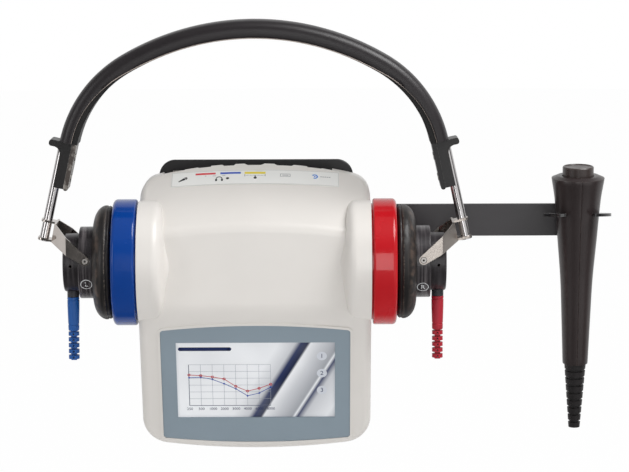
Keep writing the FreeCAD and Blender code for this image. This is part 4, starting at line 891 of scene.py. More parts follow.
class AUDIOMETER_OT_case(Maker, bpy.types.Operator):
    """The two moulded shells, the feet and the case screws"""
    bl_idname = "audiometer.case"
    bl_label = "Case"

    def make(self, scene):
        looks = scene.audiometer_case
        shell = finish("moulded_shell", looks.shell, 0.34, size=looks.texture, depth=0.000012, shade=0.018,
                       drift=0.035, coat=0.12, coat_rough=0.25)
        dress(shell, "front_shell", "rear_shell")
        dress(finish("foot_rubber", rgb(42, 41, 42), 0.75, grain=skin_creases, size=0.0008, depth=0.00004,
                     shade=0.15), "rear_feet")
        zinc = steel_finish("zinc_screws", rgb(186, 184, 178), 0.30)
        tree = screw_tree(zinc)
        places = [(x, CASE_SCREW_Y, z) for x in (-CASE_SCREW_X, CASE_SCREW_X) for z in CASE_SCREW_Z]
        screws("cross_screws_case", tree, places, (-math.pi / 2, 0, 0), CASE_SHANK, SCREW_HEAD_T - 0.1,
               "console", "case_screws")
        dress(zinc, "board_screws", "cup_screws")
        for side, turn in (("left", -math.pi / 2), ("right", math.pi / 2)):
            sign = 1 if side == "right" else -1
            places = [(sign * CAP_SCREW_X, CUP_Y + y, CAP_SCREW_Z) for y in (-CAP_SCREW_Y, CAP_SCREW_Y)]
            screws("cross_screws_" + side, tree, places, (0, turn, 0), CAP_SHANK, CAP_HEAD_T,
                   side + "_earphone", side + "_cap_screws")


class AUDIOMETER_OT_display(Maker, bpy.types.Operator):
    """Bezel, touch panel with its lit picture, and the chart drawn on it"""
    bl_idname = "audiometer.display"
    bl_label = "Display"

    KEY_X, KEY_TOP, KEY_STEP, KEY_R, KEY_TEXT = 40.5, 20.0, 12.5, 3.1, 4.2

    def make(self, scene):
        looks = scene.audiometer_screen
        dress(finish("bezel_lacquer", scene.audiometer_case.bezel, 0.42, size=0.00035, depth=0.000006,
                     shade=0.03, drift=0.04), "display_bezel")
        dress(screen_picture(looks), "touch_panel")
        dress(finish("panel_back", rgb(58, 60, 64), 0.45, metallic=0.7, depth=0.00001), "lcd_module")
        self.chart(looks)

    def chart(self, looks):
        """Chart of two hearing curves with numbers along its foot, left of the bands."""
        left, low, wide, tall = -41.0, -16.0, 50.0, 30.0
        lines = print_ink("chart_ink", rgb(150, 156, 168))
        values = {"Columns": looks.columns, "Rows": looks.rows, "Width": wide * MM, "Height": tall * MM,
                  "Line": 0.00018, "Thickness": 0.00003}
        mesh = grown(chart_tree(lines), values)
        mesh.transform(Matrix.Translation((left * MM, low * MM, (GLASS_TOP + 0.025) * MM)))
        mesh.transform(Matrix.Translation(Vector(DISPLAY_AT) * MM) @ Euler(DISPLAY_TURN).to_matrix().to_4x4())
        placed_mesh("screen_chart", mesh, None, "console", 0)

        def show(name, polygons, ink, rise=PRINT_T):
            printed(name, polygons, on_glass, rise, ink)

        dark = print_ink("screen_navy", tuple(looks.navy), 0.2)
        frame_of_chart = bar(left, left + wide, low - 0.3, low) + bar(left - 0.3, left, low - 0.3, low + tall)
        head = bar(-46.0, -16.0, 24.0, 26.6) + disc(-46.0, 25.3, 1.3) + disc(-16.0, 25.3, 1.3)
        show("screen_head", head, dark)
        show("chart_axes", frame_of_chart, dark)
        step = wide / looks.columns
        digits = []
        for i, text in enumerate(("250", "500", "1000", "2000", "3000", "4000", "6000", "8000")):
            if i <= looks.columns:
                digits += numeral(text, left + i * step, low - 2.6, 2.5)
        show("chart_numbers", digits, dark)

        for shade, tint, heights in (
                ("red", rgb(190, 34, 44), (22.5, 22.0, 21.0, 19.5, 14.0, 10.5, 12.5, 15.5)),
                ("blue", rgb(30, 74, 168), (20.5, 20.8, 19.2, 16.0, 12.2, 7.0, 9.0, 13.4))):
            ink = print_ink("curve_" + shade, tint, 0.2)
            points = [(left + i * step, low + h) for i, h in enumerate(heights)]
            marks = []
            for px, py in points:
                marks += ring(px, py, 0.55, 0.95, parts=16) if shade == "red" else disc(px, py, 0.75, 4)
            show("curve_" + shade, stroke(points, 0.42), ink, 0.035)
            show("marks_" + shade, marks, ink, 0.06)
        heights = [self.KEY_TOP - self.KEY_STEP * i for i in range(3)]
        keys = [polygon for y in heights for polygon in disc(self.KEY_X, y, self.KEY_R, 32)]
        show("screen_keys", keys, print_ink("key_grey", rgb(214, 218, 226), 0.2))
        digits = [polygon for text, y in zip("123", heights)
                  for polygon in numeral(text, self.KEY_X, y, self.KEY_TEXT)]
        show("key_numbers", digits, dark, 0.06)


class AUDIOMETER_OT_connectors(Maker, bpy.types.Operator):
    """Sockets behind the top edge and the board that carries them"""
    bl_idname = "audiometer.connectors"
    bl_label = "Connectors"

    def make(self, scene):
        nickel = zoned("socket_nickel", rgb(190, 186, 178), 0.28, rgb(30, 30, 32), SOCKET_MOUTH, metallic=1.0,
                       depth=0.000003)
        dress(nickel, "switch_jack", "right_jack", "left_jack")
        dress(zoned("port_shell", rgb(178, 178, 180), 0.32, rgb(34, 34, 36), SOCKET_MOUTH, metallic=1.0,
                    depth=0.000004), "data_port", "usb_port")
        dress(finish("port_black", rgb(34, 33, 35), 0.35, depth=0.000006), "power_jack")
        dress(finish("board_mask", rgb(24, 92, 58), 0.3, size=0.002, depth=0.00002, shade=0.25, coat=0.4),
              "main_board")


class AUDIOMETER_OT_strip(Maker, bpy.types.Operator):
    """Printed film in front of the sockets, with its coloured bars and small signs"""
    bl_idname = "audiometer.strip"
    bl_label = "Socket strip"

    def make(self, scene):
        dress(finish("strip_film", scene.audiometer_case.strip, 0.30, size=0.0008, depth=0.000003, shade=0.02,
                     drift=0.03, coat=0.25, coat_rough=0.2), "label_strip")
        far, start, end = 51.3, 5.25, 18.1
        signs = self.switch_sign(-44.6, 12.2) + self.headset_sign(-22.2, 12.9) + disc(-17.0, 12.7, 1.0) \
            + disc(0.0, 12.6, 1.0) + bar(-0.35, 0.35, 10.6, 12.6)
        border = bar(-far, far, start, start + 0.22, 60) + bar(-far, far, end - 0.22, end, 60) \
            + bar(-far, 0.22 - far, start, end) + bar(far - 0.22, far, start, end)
        prints = {
            "red": (rgb(218, 62, 70), bar(-36.8, -24.4, 7.0, 8.6, 12)),
            "blue": (rgb(46, 84, 190), bar(-21.5, -8.9, 7.0, 8.6, 12)),
            "yellow": (rgb(236, 218, 70), bar(-6.6, 6.3, 7.0, 8.9, 12)),
            "black": (rgb(24, 24, 28), signs),
            "grey": (rgb(140, 142, 148), self.fine_marks()),
            "sky": (rgb(62, 132, 214), ring(36.6, 10.2, 1.15, 2.0, -150, 120, 20) + disc(36.6, 10.2, 0.55)),
            "edge": (rgb(188, 188, 184), border),
        }
        for shade, (tint, polygons) in prints.items():
            ink = print_ink("ink_" + shade, tint)
            printed("strip_" + shade, polygons, on_strip, PRINT_T, ink)

    def switch_sign(self, x, y):
        """Sign of the handswitch: a slanting taper with a button."""
        def slanted(points):
            turn = math.radians(-33)
            return [(x + a * math.cos(turn) - b * math.sin(turn), y + a * math.sin(turn) + b * math.cos(turn))
                    for a, b in points]
        return [slanted([(-3.0, -0.35), (1.6, -0.95), (1.6, 0.95), (-3.0, 0.35)]),
                slanted([(1.9, -1.15), (2.6, -1.15), (2.6, 1.15), (1.9, 1.15)]),
                slanted([(2.7, -0.65), (3.3, -0.65), (3.3, 0.65), (2.7, 0.65)])]

    def headset_sign(self, x, y):
        """Sign of the headset: band and two cups."""
        return ring(x, y, 1.5, 2.05, 180, 360, 16) + bar(x - 2.4, x - 1.2, y + 0.15, y + 2.1) \
            + bar(x + 1.2, x + 2.4, y + 0.15, y + 2.1)

    def fine_marks(self):
        """Thin brackets, dots and socket outlines."""
        marks = [polygon for sizes in (
            (-6.6, -6.2, 9.3, 11.2), (5.9, 6.3, 9.3, 11.2), (-31.0, -30.2, 9.6, 10.0),
            (-26.2, -24.2, 9.9, 10.2, 2), (-20.4, -18.4, 9.9, 10.2, 2), (15.4, 21.6, 8.6, 8.9, 6),
            (15.4, 21.6, 11.0, 11.3, 6), (15.4, 15.7, 8.9, 11.0), (21.3, 21.6, 8.9, 11.0),
            (16.6, 20.4, 9.7, 10.2, 4)) for polygon in bar(*sizes)]
        for count, start, step, width, low, high in ((14, -5.7, 0.84, 0.4, 10.2, 10.6),
                                                     (5, 40.0, 1.3, 1.0, 9.9, 10.4)):
            for i in range(count):
                marks += bar(start + i * step, start + width + i * step, low, high)
        return marks


class AUDIOMETER_OT_cups(Maker, bpy.types.Operator):
    """Gloss storage cups on the case's flanks"""
    bl_idname = "audiometer.cups"
    bl_label = "Storage cups"

    def make(self, scene):
        looks = scene.audiometer_cups
        for side, tint in (("left", looks.left), ("right", looks.right)):
            gloss = finish("cup_gloss_" + side, tint, 0.26, size=0.004, depth=0.00003, shade=0.07, drift=0.05,
                           coat=0.5, coat_rough=0.03, specular=0.2)
            dress(gloss, side + "_cup")


class AUDIOMETER_OT_cushions(Maker, bpy.types.Operator):
    """Soft ear cushions: filled skins with a sewn groove near the face"""
    bl_idname = "audiometer.cushions"
    bl_label = "Ear cushions"

    STEPS, SEAM_X, SEAM_DEEP, SEAM_HALF = 120, 88.9, 0.55, 0.45
    HELD_R, RIM_R = 22.0, 33.0          # held by the neck inside, drawn in by the seam outside

    def make(self, scene):
        looks = scene.audiometer_cushions
        skin = finish("cushion_skin", looks.skin, 0.46, grain=skin_creases, size=0.0011, depth=0.00004,
                      shade=0.25, drift=0.10, streaks_and_sheen=(rgb(66, 58, 54), 0.55, (1.0, 0.05, 0.05), 900.0))
        self.wear(skin)
        sweep = self.skin_mesh(looks)
        for side, sign in (("right", 1), ("left", -1)):
            mesh = sweep.copy()
            if sign < 0:
                mesh.transform(Matrix.Scale(-1, 4, (1, 0, 0)))
            pad = placed_mesh(side + "_ear_cushion", outward(mesh), skin, side + "_earphone",
                              60.0)
            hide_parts(side + "_cushion")
            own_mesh(pad)

    def wear(self, skin):
        """Brown rubbed rim round the outer shoulder and a broken pale line along the seam."""
        tree = skin.node_tree
        place = place_of(tree)
        out_from = sums(tree, "ABSOLUTE", parts_of(tree, place)[0])
        for middle, half, scale, low, high, tint in ((95.0, 2.6, 260.0, 0.42, 0.72, rgb(108, 88, 76)),
                                                     (89.8, 0.5, 1500.0, 0.50, 0.62, rgb(138, 126, 112))):
            near = spread(tree, sums(tree, "ABSOLUTE", sums(tree, "SUBTRACT", out_from, middle * MM)),
                          0.7, 0.0, 0.0, half * MM)
            broken = spread(tree, noise_at(tree, place, scale, 5.0), 0.0, 1.0, low, high)
            overlaid(skin, times(tree, near, broken), tint)

    def skin_mesh(self, looks):
        """Right-hand cushion: lathe section, filled, then the groove drawn in."""
        front, back = CUSHION_FACE + 0.05, CUSHION_BACK - 0.05
        section = [(front + 1.4, CUSHION_HOLE_R), (front, CUSHION_HOLE_R + 1.6), (front, 20.0), (front, 25.0),
                   (front, 30.0), (front, 33.2), (front + 0.5, 34.6), (front + 1.3, 35.0),
                   (front + 2.0, 35.1), (front + 2.6, 35.1), (front + 3.2, 35.1), (front + 4.4, 35.0),
                   (front + 5.8, 34.4), (front + 7.3, 33.3), (front + 8.6, 31.8), (front + 9.8, 29.8),
                   (back - 0.7, 27.6), (back, 25.0), (back, 22.4), (back, NECK_R + 0.05),
                   (NECK_START + 1.5, NECK_R + 0.05), (NECK_START + 0.05, NECK_R), (NECK_START, 17.0),
                   (NECK_START - 0.6, CUSHION_HOLE_R), (90.5, CUSHION_HOLE_R)]
        mesh = outward(lathe("cushion_skin", section, self.STEPS, lambda along, radius, angle: (
            along, CUP_Y - radius * math.cos(angle), radius * math.sin(angle))))
        held = [v.index for v in mesh.vertices
                if v.co.x < (front + 0.02) * MM or self.radius(v.co) < self.HELD_R * MM]
        filled(mesh, held, looks.pressure, looks.swell / MM)
        mesh = subdivided(mesh)
        for vertex in mesh.vertices:
            r = self.radius(vertex.co)
            if r > self.RIM_R * MM:
                near = math.exp(-((vertex.co.x / MM - self.SEAM_X) / self.SEAM_HALF) ** 2)
                keep = 1 - near * self.SEAM_DEEP * MM / r
                vertex.co.y = CUP_Y * MM + (vertex.co.y - CUP_Y * MM) * keep
                vertex.co.z *= keep
            vertex.co.x = max(vertex.co.x, front * MM)
        return mesh

    def radius(self, point):
        return math.hypot(point.y - CUP_Y * MM, point.z)


class AUDIOMETER_OT_earphones(Maker, bpy.types.Operator):
    """Housings, caps, drivers and sockets of the two earphones"""
    bl_idname = "audiometer.earphones"
    bl_label = "Earphones"

    RING_R, MARK_X = 21.9, 101.7

    def make(self, scene):
        # painted highlight: the pale brown edge tint is partly wear and partly light on the ring's edges, and
        # the light lines are partly fine lines and partly a painted sheen
        drum = finish("housing_plastic", rgb(48, 44, 47), 0.28, size=0.0007, depth=0.000008, shade=0.14,
                      drift=0.08, wear_and_highlight=rgb(128, 110, 98), wear_and_highlight_amount=0.6,
                      streaks_and_sheen=(rgb(128, 122, 124), 0.7, (1.0, 0.04, 0.04), 700.0))
        # painted highlight: the pale edge tint is partly wear and partly light on the cap's edges
        ends = finish("cap_plastic", rgb(42, 38, 41), 0.32, size=0.0006, depth=0.000008, shade=0.14,
                      drift=0.07, wear_and_highlight=rgb(120, 104, 94), wear_and_highlight_amount=0.5,
                      streaks_and_sheen=(rgb(96, 92, 94), 0.4, (1.0, 0.05, 0.05), 800.0))
        paint = print_ink("side_mark_white", rgb(226, 228, 230))
        cone = steel_finish("driver_metal", rgb(140, 140, 142), 0.35)
        inlet = finish("socket_plastic", rgb(52, 52, 56), 0.4, depth=0.000008)
        for side in ("left", "right"):
            dress(drum, side + "_housing")
            dress(ends, side + "_back_cap")
            dress(cone, side + "_driver")
            dress(inlet, side + "_socket")
            self.side_mark(side, paint)

    def side_mark(self, side, paint):
        """White ring and letter for the side, printed round the front of the housing."""
        sign, low = (1, math.radians(38)) if side == "right" else (-1, math.radians(30))

        def on_ring(x, y, height):
            angle = low - y / self.RING_R
            reach = self.RING_R + PRINT_GAP + height
            return Vector((sign * self.MARK_X + x, CUP_Y - reach * math.cos(angle), -reach * math.sin(angle)))

        mark = ring(0.0, 0.0, 3.15, 3.55, parts=36) + numeral(side[0].upper(), 0.0, 0.0, 4.6)
        printed(side + "_side_mark", mark, on_ring, PRINT_T, paint, side + "_earphone")


class AUDIOMETER_OT_plugs(Maker, bpy.types.Operator):
    """Coloured plugs with their chains of windowed links"""
    bl_idname = "audiometer.plugs"
    bl_label = "Plugs"

    SOCKET_X, TOP, GRIP_L, LINKS, PITCH = 111.4, -21.2, 20.8, 5, 3.6

    def make(self, scene):
        dress(steel_finish("pin_brass", rgb(196, 158, 84), 0.22), "left_plug_pins", "right_plug_pins")
        for side, sign, tint in (("left", -1, rgb(22, 90, 168)), ("right", 1, rgb(168, 22, 42))):
            skin = finish("plug_" + side, tint, 0.42, size=0.0006, depth=0.000015, shade=0.10, drift=0.06)
            self.plug(side, sign * self.SOCKET_X, skin)

    def plug(self, side, x, skin):
        """Tapering grip with two fine grooves, and the links grown below it."""
        bore, pocket = 1.2, 2.65
        outline = [(0.0, pocket), (0.0, 3.45), (0.3, 3.7), (1.4, 3.72), (1.6, 3.5), (2.0, 3.5), (2.2, 3.72),
                   (7.0, 3.66), (12.0, 3.5), (16.6, 3.36), (16.8, 3.16), (17.3, 3.14), (17.5, 3.36),
                   (20.3, 3.3), (self.GRIP_L, 3.0), (self.GRIP_L, bore), (6.0, bore), (2.0, bore),
                   (2.0, pocket)]
        grip = lathe("plug_grip", outline, 48, lambda along, radius, angle: (
            x + radius * math.sin(angle), CUP_Y - radius * math.cos(angle), self.TOP - along))
        chain = grown(link_tree(skin), {"Count": self.LINKS, "Pitch": self.PITCH * MM})
        first = self.TOP - self.GRIP_L - self.PITCH * 0.55
        chain.transform(Matrix.Translation((x * MM, CUP_Y * MM, first * MM)))
        work = bmesh.new()
        work.from_mesh(grip)
        work.from_mesh(chain)
        mesh = bpy.data.meshes.new(side + "_plug_grip")
        work.to_mesh(mesh)
        work.free()
        made = placed_mesh(side + "_plug_grip", outward(mesh), skin, side + "_plug",
                           35.0)
        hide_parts(side + "_plug_boot")


class AUDIOMETER_OT_yokes(Maker, bpy.types.Operator):
    """Polished yokes, pivot pins and chromed rods"""
    bl_idname = "audiometer.yokes"
    bl_label = "Yokes and rods"

    ROD_R, ROD_HEAD_R, ROD_HEAD_T, ROD_START, ROD_END = 2.85, 3.7, 0.85, -7.1, 50.7
    PIN_X, PIN_Z, PIN_HEAD_R = 102.0, 3.8, 2.0

    def make(self, scene):
        sheets = {side: steel_finish(side + "_yoke_steel", tint, rough, stretch=(1.0, 0.1, 1.0), count=1800.0,
                                     depth=0.0000008, drift=0.05)
                  for side, tint, rough in (("left", rgb(196, 188, 182), 0.12),
                                            ("right", rgb(190, 182, 175), 0.3))}
        chrome = finish("rod_chrome", rgb(206, 203, 203), 0.2, size=0.004, depth=0.0, shade=0.06, drift=0.02,
                        metallic=1.0)
        pins = self.shaded_pin_heads(steel_finish("pin_steel", rgb(190, 186, 182), 0.34))
        for side, sign in (("left", -1), ("right", 1)):
            dress(sheets[side], side + "_yoke")
            dress(pins, side + "_pivot_pins")
            self.rod(side, sign, chrome)

    def rod(self, side, sign, chrome):
        """Turned rod with a low domed head under the yoke and a chamfered top."""
        head = self.ROD_START + self.ROD_HEAD_T
        profile = [(self.ROD_START, 0.0), (self.ROD_START, 2.9), (self.ROD_START + 0.1, 3.35),
                   (self.ROD_START + 0.3, self.ROD_HEAD_R), (head - 0.1, self.ROD_HEAD_R),
                   (head, self.ROD_HEAD_R - 0.1), (head, self.ROD_R + 0.02), (head + 0.05, self.ROD_R),
                   (12.0, self.ROD_R), (30.0, self.ROD_R),
                   (self.ROD_END - 0.4, self.ROD_R), (self.ROD_END, self.ROD_R - 0.4), (self.ROD_END, 0.0)]
        mesh = lathe(side + "_slide_rod", profile, 72, lambda along, radius, angle: (
            sign * at_rod(radius * math.cos(angle), along)[0], CUP_Y + radius * math.sin(angle),
            at_rod(radius * math.cos(angle), along)[1]))
        made = placed_mesh(side + "_slide_rod", outward(mesh), chrome, side + "_rod", 30.0)
        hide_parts(side + "_rod")

    def shaded_pin_heads(self, material):
        """Painted shade on each pin's head: a dark spot in the middle for the shade of a small pit there, and
        dark from the head's rim outwards for the shade where the head meets the yoke.
        """
        tree = material.node_tree
        x, _, z = parts_of(tree, place_of(tree))
        across = sums(tree, "SUBTRACT", sums(tree, "ABSOLUTE", x), self.PIN_X * MM)
        flat = vector(tree, {0: across, 1: sums(tree, "SUBTRACT", z, self.PIN_Z * MM)})
        away = add(tree, "ShaderNodeVectorMath", {0: flat}, operation="LENGTH").outputs["Value"]
        # painted shade: dark spot in the middle of the head
        centre_shade = spread(tree, away, 1.0, 0.0, 0.55 * MM, 0.75 * MM)
        # painted shade: dark from just inside the head's rim outwards
        line = spread(tree, away, 0.0, 1.0, (self.PIN_HEAD_R - 0.35) * MM, (self.PIN_HEAD_R - 0.2) * MM)
        overlaid(material, sums(tree, "MAXIMUM", centre_shade, line), rgb(36, 32, 30))
        return material


class AUDIOMETER_OT_blocks(Maker, bpy.types.Operator):
    """Slider blocks and the clips riveted to the band's ends"""
    bl_idname = "audiometer.blocks"
    bl_label = "Slider blocks"

    def make(self, scene):
        nylon = finish("block_nylon", rgb(22, 20, 21), 0.38, size=0.0006, depth=0.000015, shade=0.12,
                       drift=0.07, wear_and_highlight=rgb(104, 98, 96), wear_and_highlight_amount=0.5)
        dress(nylon, "left_block", "right_block")
        bare = finish("clip_bare", rgb(92, 85, 81), 0.36, size=0.003, depth=0.00002, shade=0.45, drift=0.12,
                      metallic=0.7, wear_and_highlight=rgb(206, 202, 196), wear_and_highlight_amount=0.9,
                      streaks_and_sheen=(rgb(202, 196, 188), 0.85, (1.0, 1.0, 0.6), 330.0))
        dress(bare, "left_band_clip")
        dress(finish("clip_paint", rgb(26, 24, 25), 0.36, depth=0.00001, metallic=0.2, shade=0.15,
                     wear_and_highlight=rgb(140, 134, 130), wear_and_highlight_amount=0.5), "right_band_clip")
        dress(steel_finish("rivet_steel", rgb(160, 156, 150), 0.3), "block_rivets")


class AUDIOMETER_OT_headband(Maker, bpy.types.Operator):
    """Padded vinyl cover, its lining and beads, and the spring inside"""
    bl_idname = "audiometer.headband"
    bl_label = "Headband"

    PITCH, HEM, CHANNEL = 2.4, -8.6, 12.62
    HEM_RISE, RISE_FROM, RISE_TO = 3.4, 1.25, 0.35
    LONGEST, PRESSURE, BEAD_INSET = 3.4, 6.0, 0.95

    def hem(self, angle):
        """Height of the cover's hems: low at the crown, higher towards the shoulders."""
        steep = min(angle, math.pi - angle)
        share = min(1.0, max(0.0, (self.RISE_FROM - steep) / (self.RISE_FROM - self.RISE_TO)))
        return self.HEM + self.HEM_RISE * share * share * (3 - 2 * share)

    def make(self, scene):
        looks = scene.audiometer_band
        vinyl = finish("cover_vinyl", looks.cover, 0.40, grain=skin_creases, size=0.0008, depth=0.000006,
                       shade=0.14, drift=0.04)
        pad = placed_mesh("headband_pad", self.cover_mesh(looks), vinyl, "headset", 60.0)
        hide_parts("headband_cover")
        dress(finish("lining_vinyl", rgb(12, 10, 11), 0.55, grain=skin_creases, size=0.0008, depth=0.00003,
                     shade=0.15), "headband_lining")
        dress(steel_finish("spring_steel", rgb(110, 112, 118), 0.3), "spring_band")
        bead = bead_tree(finish("bead_vinyl", rgb(170, 158, 150), 0.34, depth=0.00001, shade=0.1))
        half = BAND_W / 2 - self.BEAD_INSET
        for name, y in (("front", -half), ("back", half)):
            points = [arch_point(a, self.hem(a) + 0.1, y) for a in arch_angles(self.PITCH)]
            path = mesh_of("bead_path", points, edges=[(i, i + 1) for i in range(len(points) - 1)])
            mesh = grown(bead, {"Radius": looks.piping}, path)
            placed_mesh("band_bead_" + name, mesh, None, "headset", 60.0)

    def cover_mesh(self, looks):
        """Roll swept along the arch, its hems folded down over the lining's edges, filled from
        inside with the hems and the under face held."""
        low, half = BAND_IN + 0.05, BAND_W / 2
        swell = [(self.HEM, half - 1.0), (self.HEM + 0.4, half - 0.75), (-6.8, half - 0.5),
                 (-5.0, half - 0.37), (-3.6, half - 0.4), (-2.0, half - 0.7), (-0.5, half - 1.4),
                 (0.8, half - 2.6), (1.7, half - 4.4), (2.2, half - 6.8), (BAND_OUT - 0.45, half - 9.5)]
        front = [(low, self.CHANNEL), (self.HEM, self.CHANNEL)] + swell
        outline = divided([(u, -y) for u, y in front] + front[::-1], self.LONGEST)
        angles = arch_angles(self.PITCH)
        verts = [arch_point(a, max(u, self.hem(a)) if abs(y) > self.CHANNEL - 0.1 else u, y)
                 for a in angles for u, y in outline]
        count = len(outline)
        mesh = outward(mesh_of("headband_pad", verts, swept_faces(len(angles), count)))
        ends = set(range(count)) | set(range(len(verts) - count, len(verts)))
        held = [i for i in range(len(verts)) if i in ends or outline[i % count][0] < low + 0.3]
        return filled(mesh, held, self.PRESSURE, looks.swell / MM)


class AUDIOMETER_OT_handswitch(Maker, bpy.types.Operator):
    """Handswitch: two grip halves with a groove between them, button and cord relief"""
    bl_idname = "audiometer.handswitch"
    bl_label = "Handswitch"

    STEPS = 44
    EDGE = (0.0, 0.5, 1.3)              # first turns of the sweep in degrees, beside the groove

    def make(self, scene):
        looks = scene.audiometer_switch
        skin = finish("grip_plastic", looks.grip, 0.30, size=0.0007, depth=0.000008, shade=0.12, drift=0.04,
                      wear_and_highlight=rgb(132, 116, 106), wear_and_highlight_amount=0.45)
        for side, sign in (("right", 1), ("left", -1)):
            half = self.grip_half(side, sign, looks.seam / MM, skin)
            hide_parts("switch_" + side + "_half")
        dress(finish("button_plastic", rgb(62, 53, 51), 0.30, size=0.0006, depth=0.000008, shade=0.1,
                     wear_and_highlight=rgb(128, 114, 106), wear_and_highlight_amount=0.5), "switch_button")
        dress(finish("relief_rubber", rgb(30, 26, 27), 0.5, grain=skin_creases, size=0.0007, depth=0.00002,
                     shade=0.15), "switch_relief")
        dress(finish("snap_switch", rgb(34, 34, 38), 0.4, depth=0.000006), "micro_switch")
        dress(steel_finish("coil_steel", rgb(150, 150, 152), 0.25), "button_spring")

    def grip_half(self, side, sign, seam, skin):
        """Half of a lathed hollow grip; the ends of the sweep are drawn in to make the groove."""
        outer = self.outer_curve()
        top = [(COLLAR_TOP - 0.25, COLLAR_TOP_R + 0.1), (COLLAR_TOP, COLLAR_TOP_R - 0.35)]
        inside = [(COLLAR_TOP, COLLAR_BORE_R + 0.25), (COLLAR_TOP - 0.25, COLLAR_BORE_R),
                  (COLLAR_TOP - COLLAR_T, COLLAR_BORE_R), (COLLAR_TOP - COLLAR_T, GRIP[-1][1] - GRIP_WALL)]
        inside += [(h, r - GRIP_WALL) for h, r in reversed(outer[2:-1])]
        inside += [(GRIP[0][0] + GRIP_WALL, GRIP_END_BORE_R), (GRIP[0][0], GRIP_END_BORE_R)]
        profile = outer + top + inside
        visible = len(outer) + len(top)
        step = (180.0 - 2 * self.EDGE[-1]) / self.STEPS
        turns = [*self.EDGE, *(self.EDGE[-1] + i * step for i in range(1, self.STEPS)),
                 *(180.0 - turn for turn in reversed(self.EDGE))]
        verts = []
        tilt = Matrix.Translation(SWITCH_AT) @ Matrix.Rotation(SWITCH_LEAN, 4, "X")
        for i, turn in enumerate(turns):
            angle = SEAM_TURN - math.pi / 2 + math.radians(turn) * sign
            drawn = seam if i in (0, len(turns) - 1) else seam * 0.35 if i in (1, len(turns) - 2) else 0.0
            for k, (h, r) in enumerate(profile):
                radius = r - (drawn if k < visible else 0.0)
                verts.append(tilt @ Vector((radius * math.cos(angle), radius * math.sin(angle), h)))
        mesh = mesh_of("grip", verts, swept_faces(len(turns), len(profile)))
        return placed_mesh("grip_half_" + side, outward(mesh), skin, "handswitch", 30.0)

    def outer_curve(self):
        """Smooth outline through the grip's heights and radii."""
        points = [Vector((h, r)) for h, r in GRIP]
        made = [(GRIP[0][0], GRIP[0][1] - 0.5), (GRIP[0][0] + 0.15, GRIP[0][1] - 0.12)]
        for i in range(len(points) - 1):
            before, after = points[max(i - 1, 0)], points[min(i + 2, len(points) - 1)]
            start, end = points[i], points[i + 1]
            run = end.x - start.x
            first = (end - before) / max(end.x - before.x, 1e-6) * run
            last = (after - start) / max(after.x - start.x, 1e-6) * run
            for k in range(6):
                t = k / 6 if i or k else 0.03
                radius = (start.y * (2 * t ** 3 - 3 * t ** 2 + 1) + first.y * (t ** 3 - 2 * t ** 2 + t)
                          + end.y * (3 * t ** 2 - 2 * t ** 3) + last.y * (t ** 3 - t ** 2))
                made.append((start.x + run * t, radius))
        made.append((GRIP[-1][0] - 0.1, GRIP[-1][1] - 0.06))
        made.append((GRIP[-1][0] + 0.15, GRIP[-1][1] - 0.14))
        return made


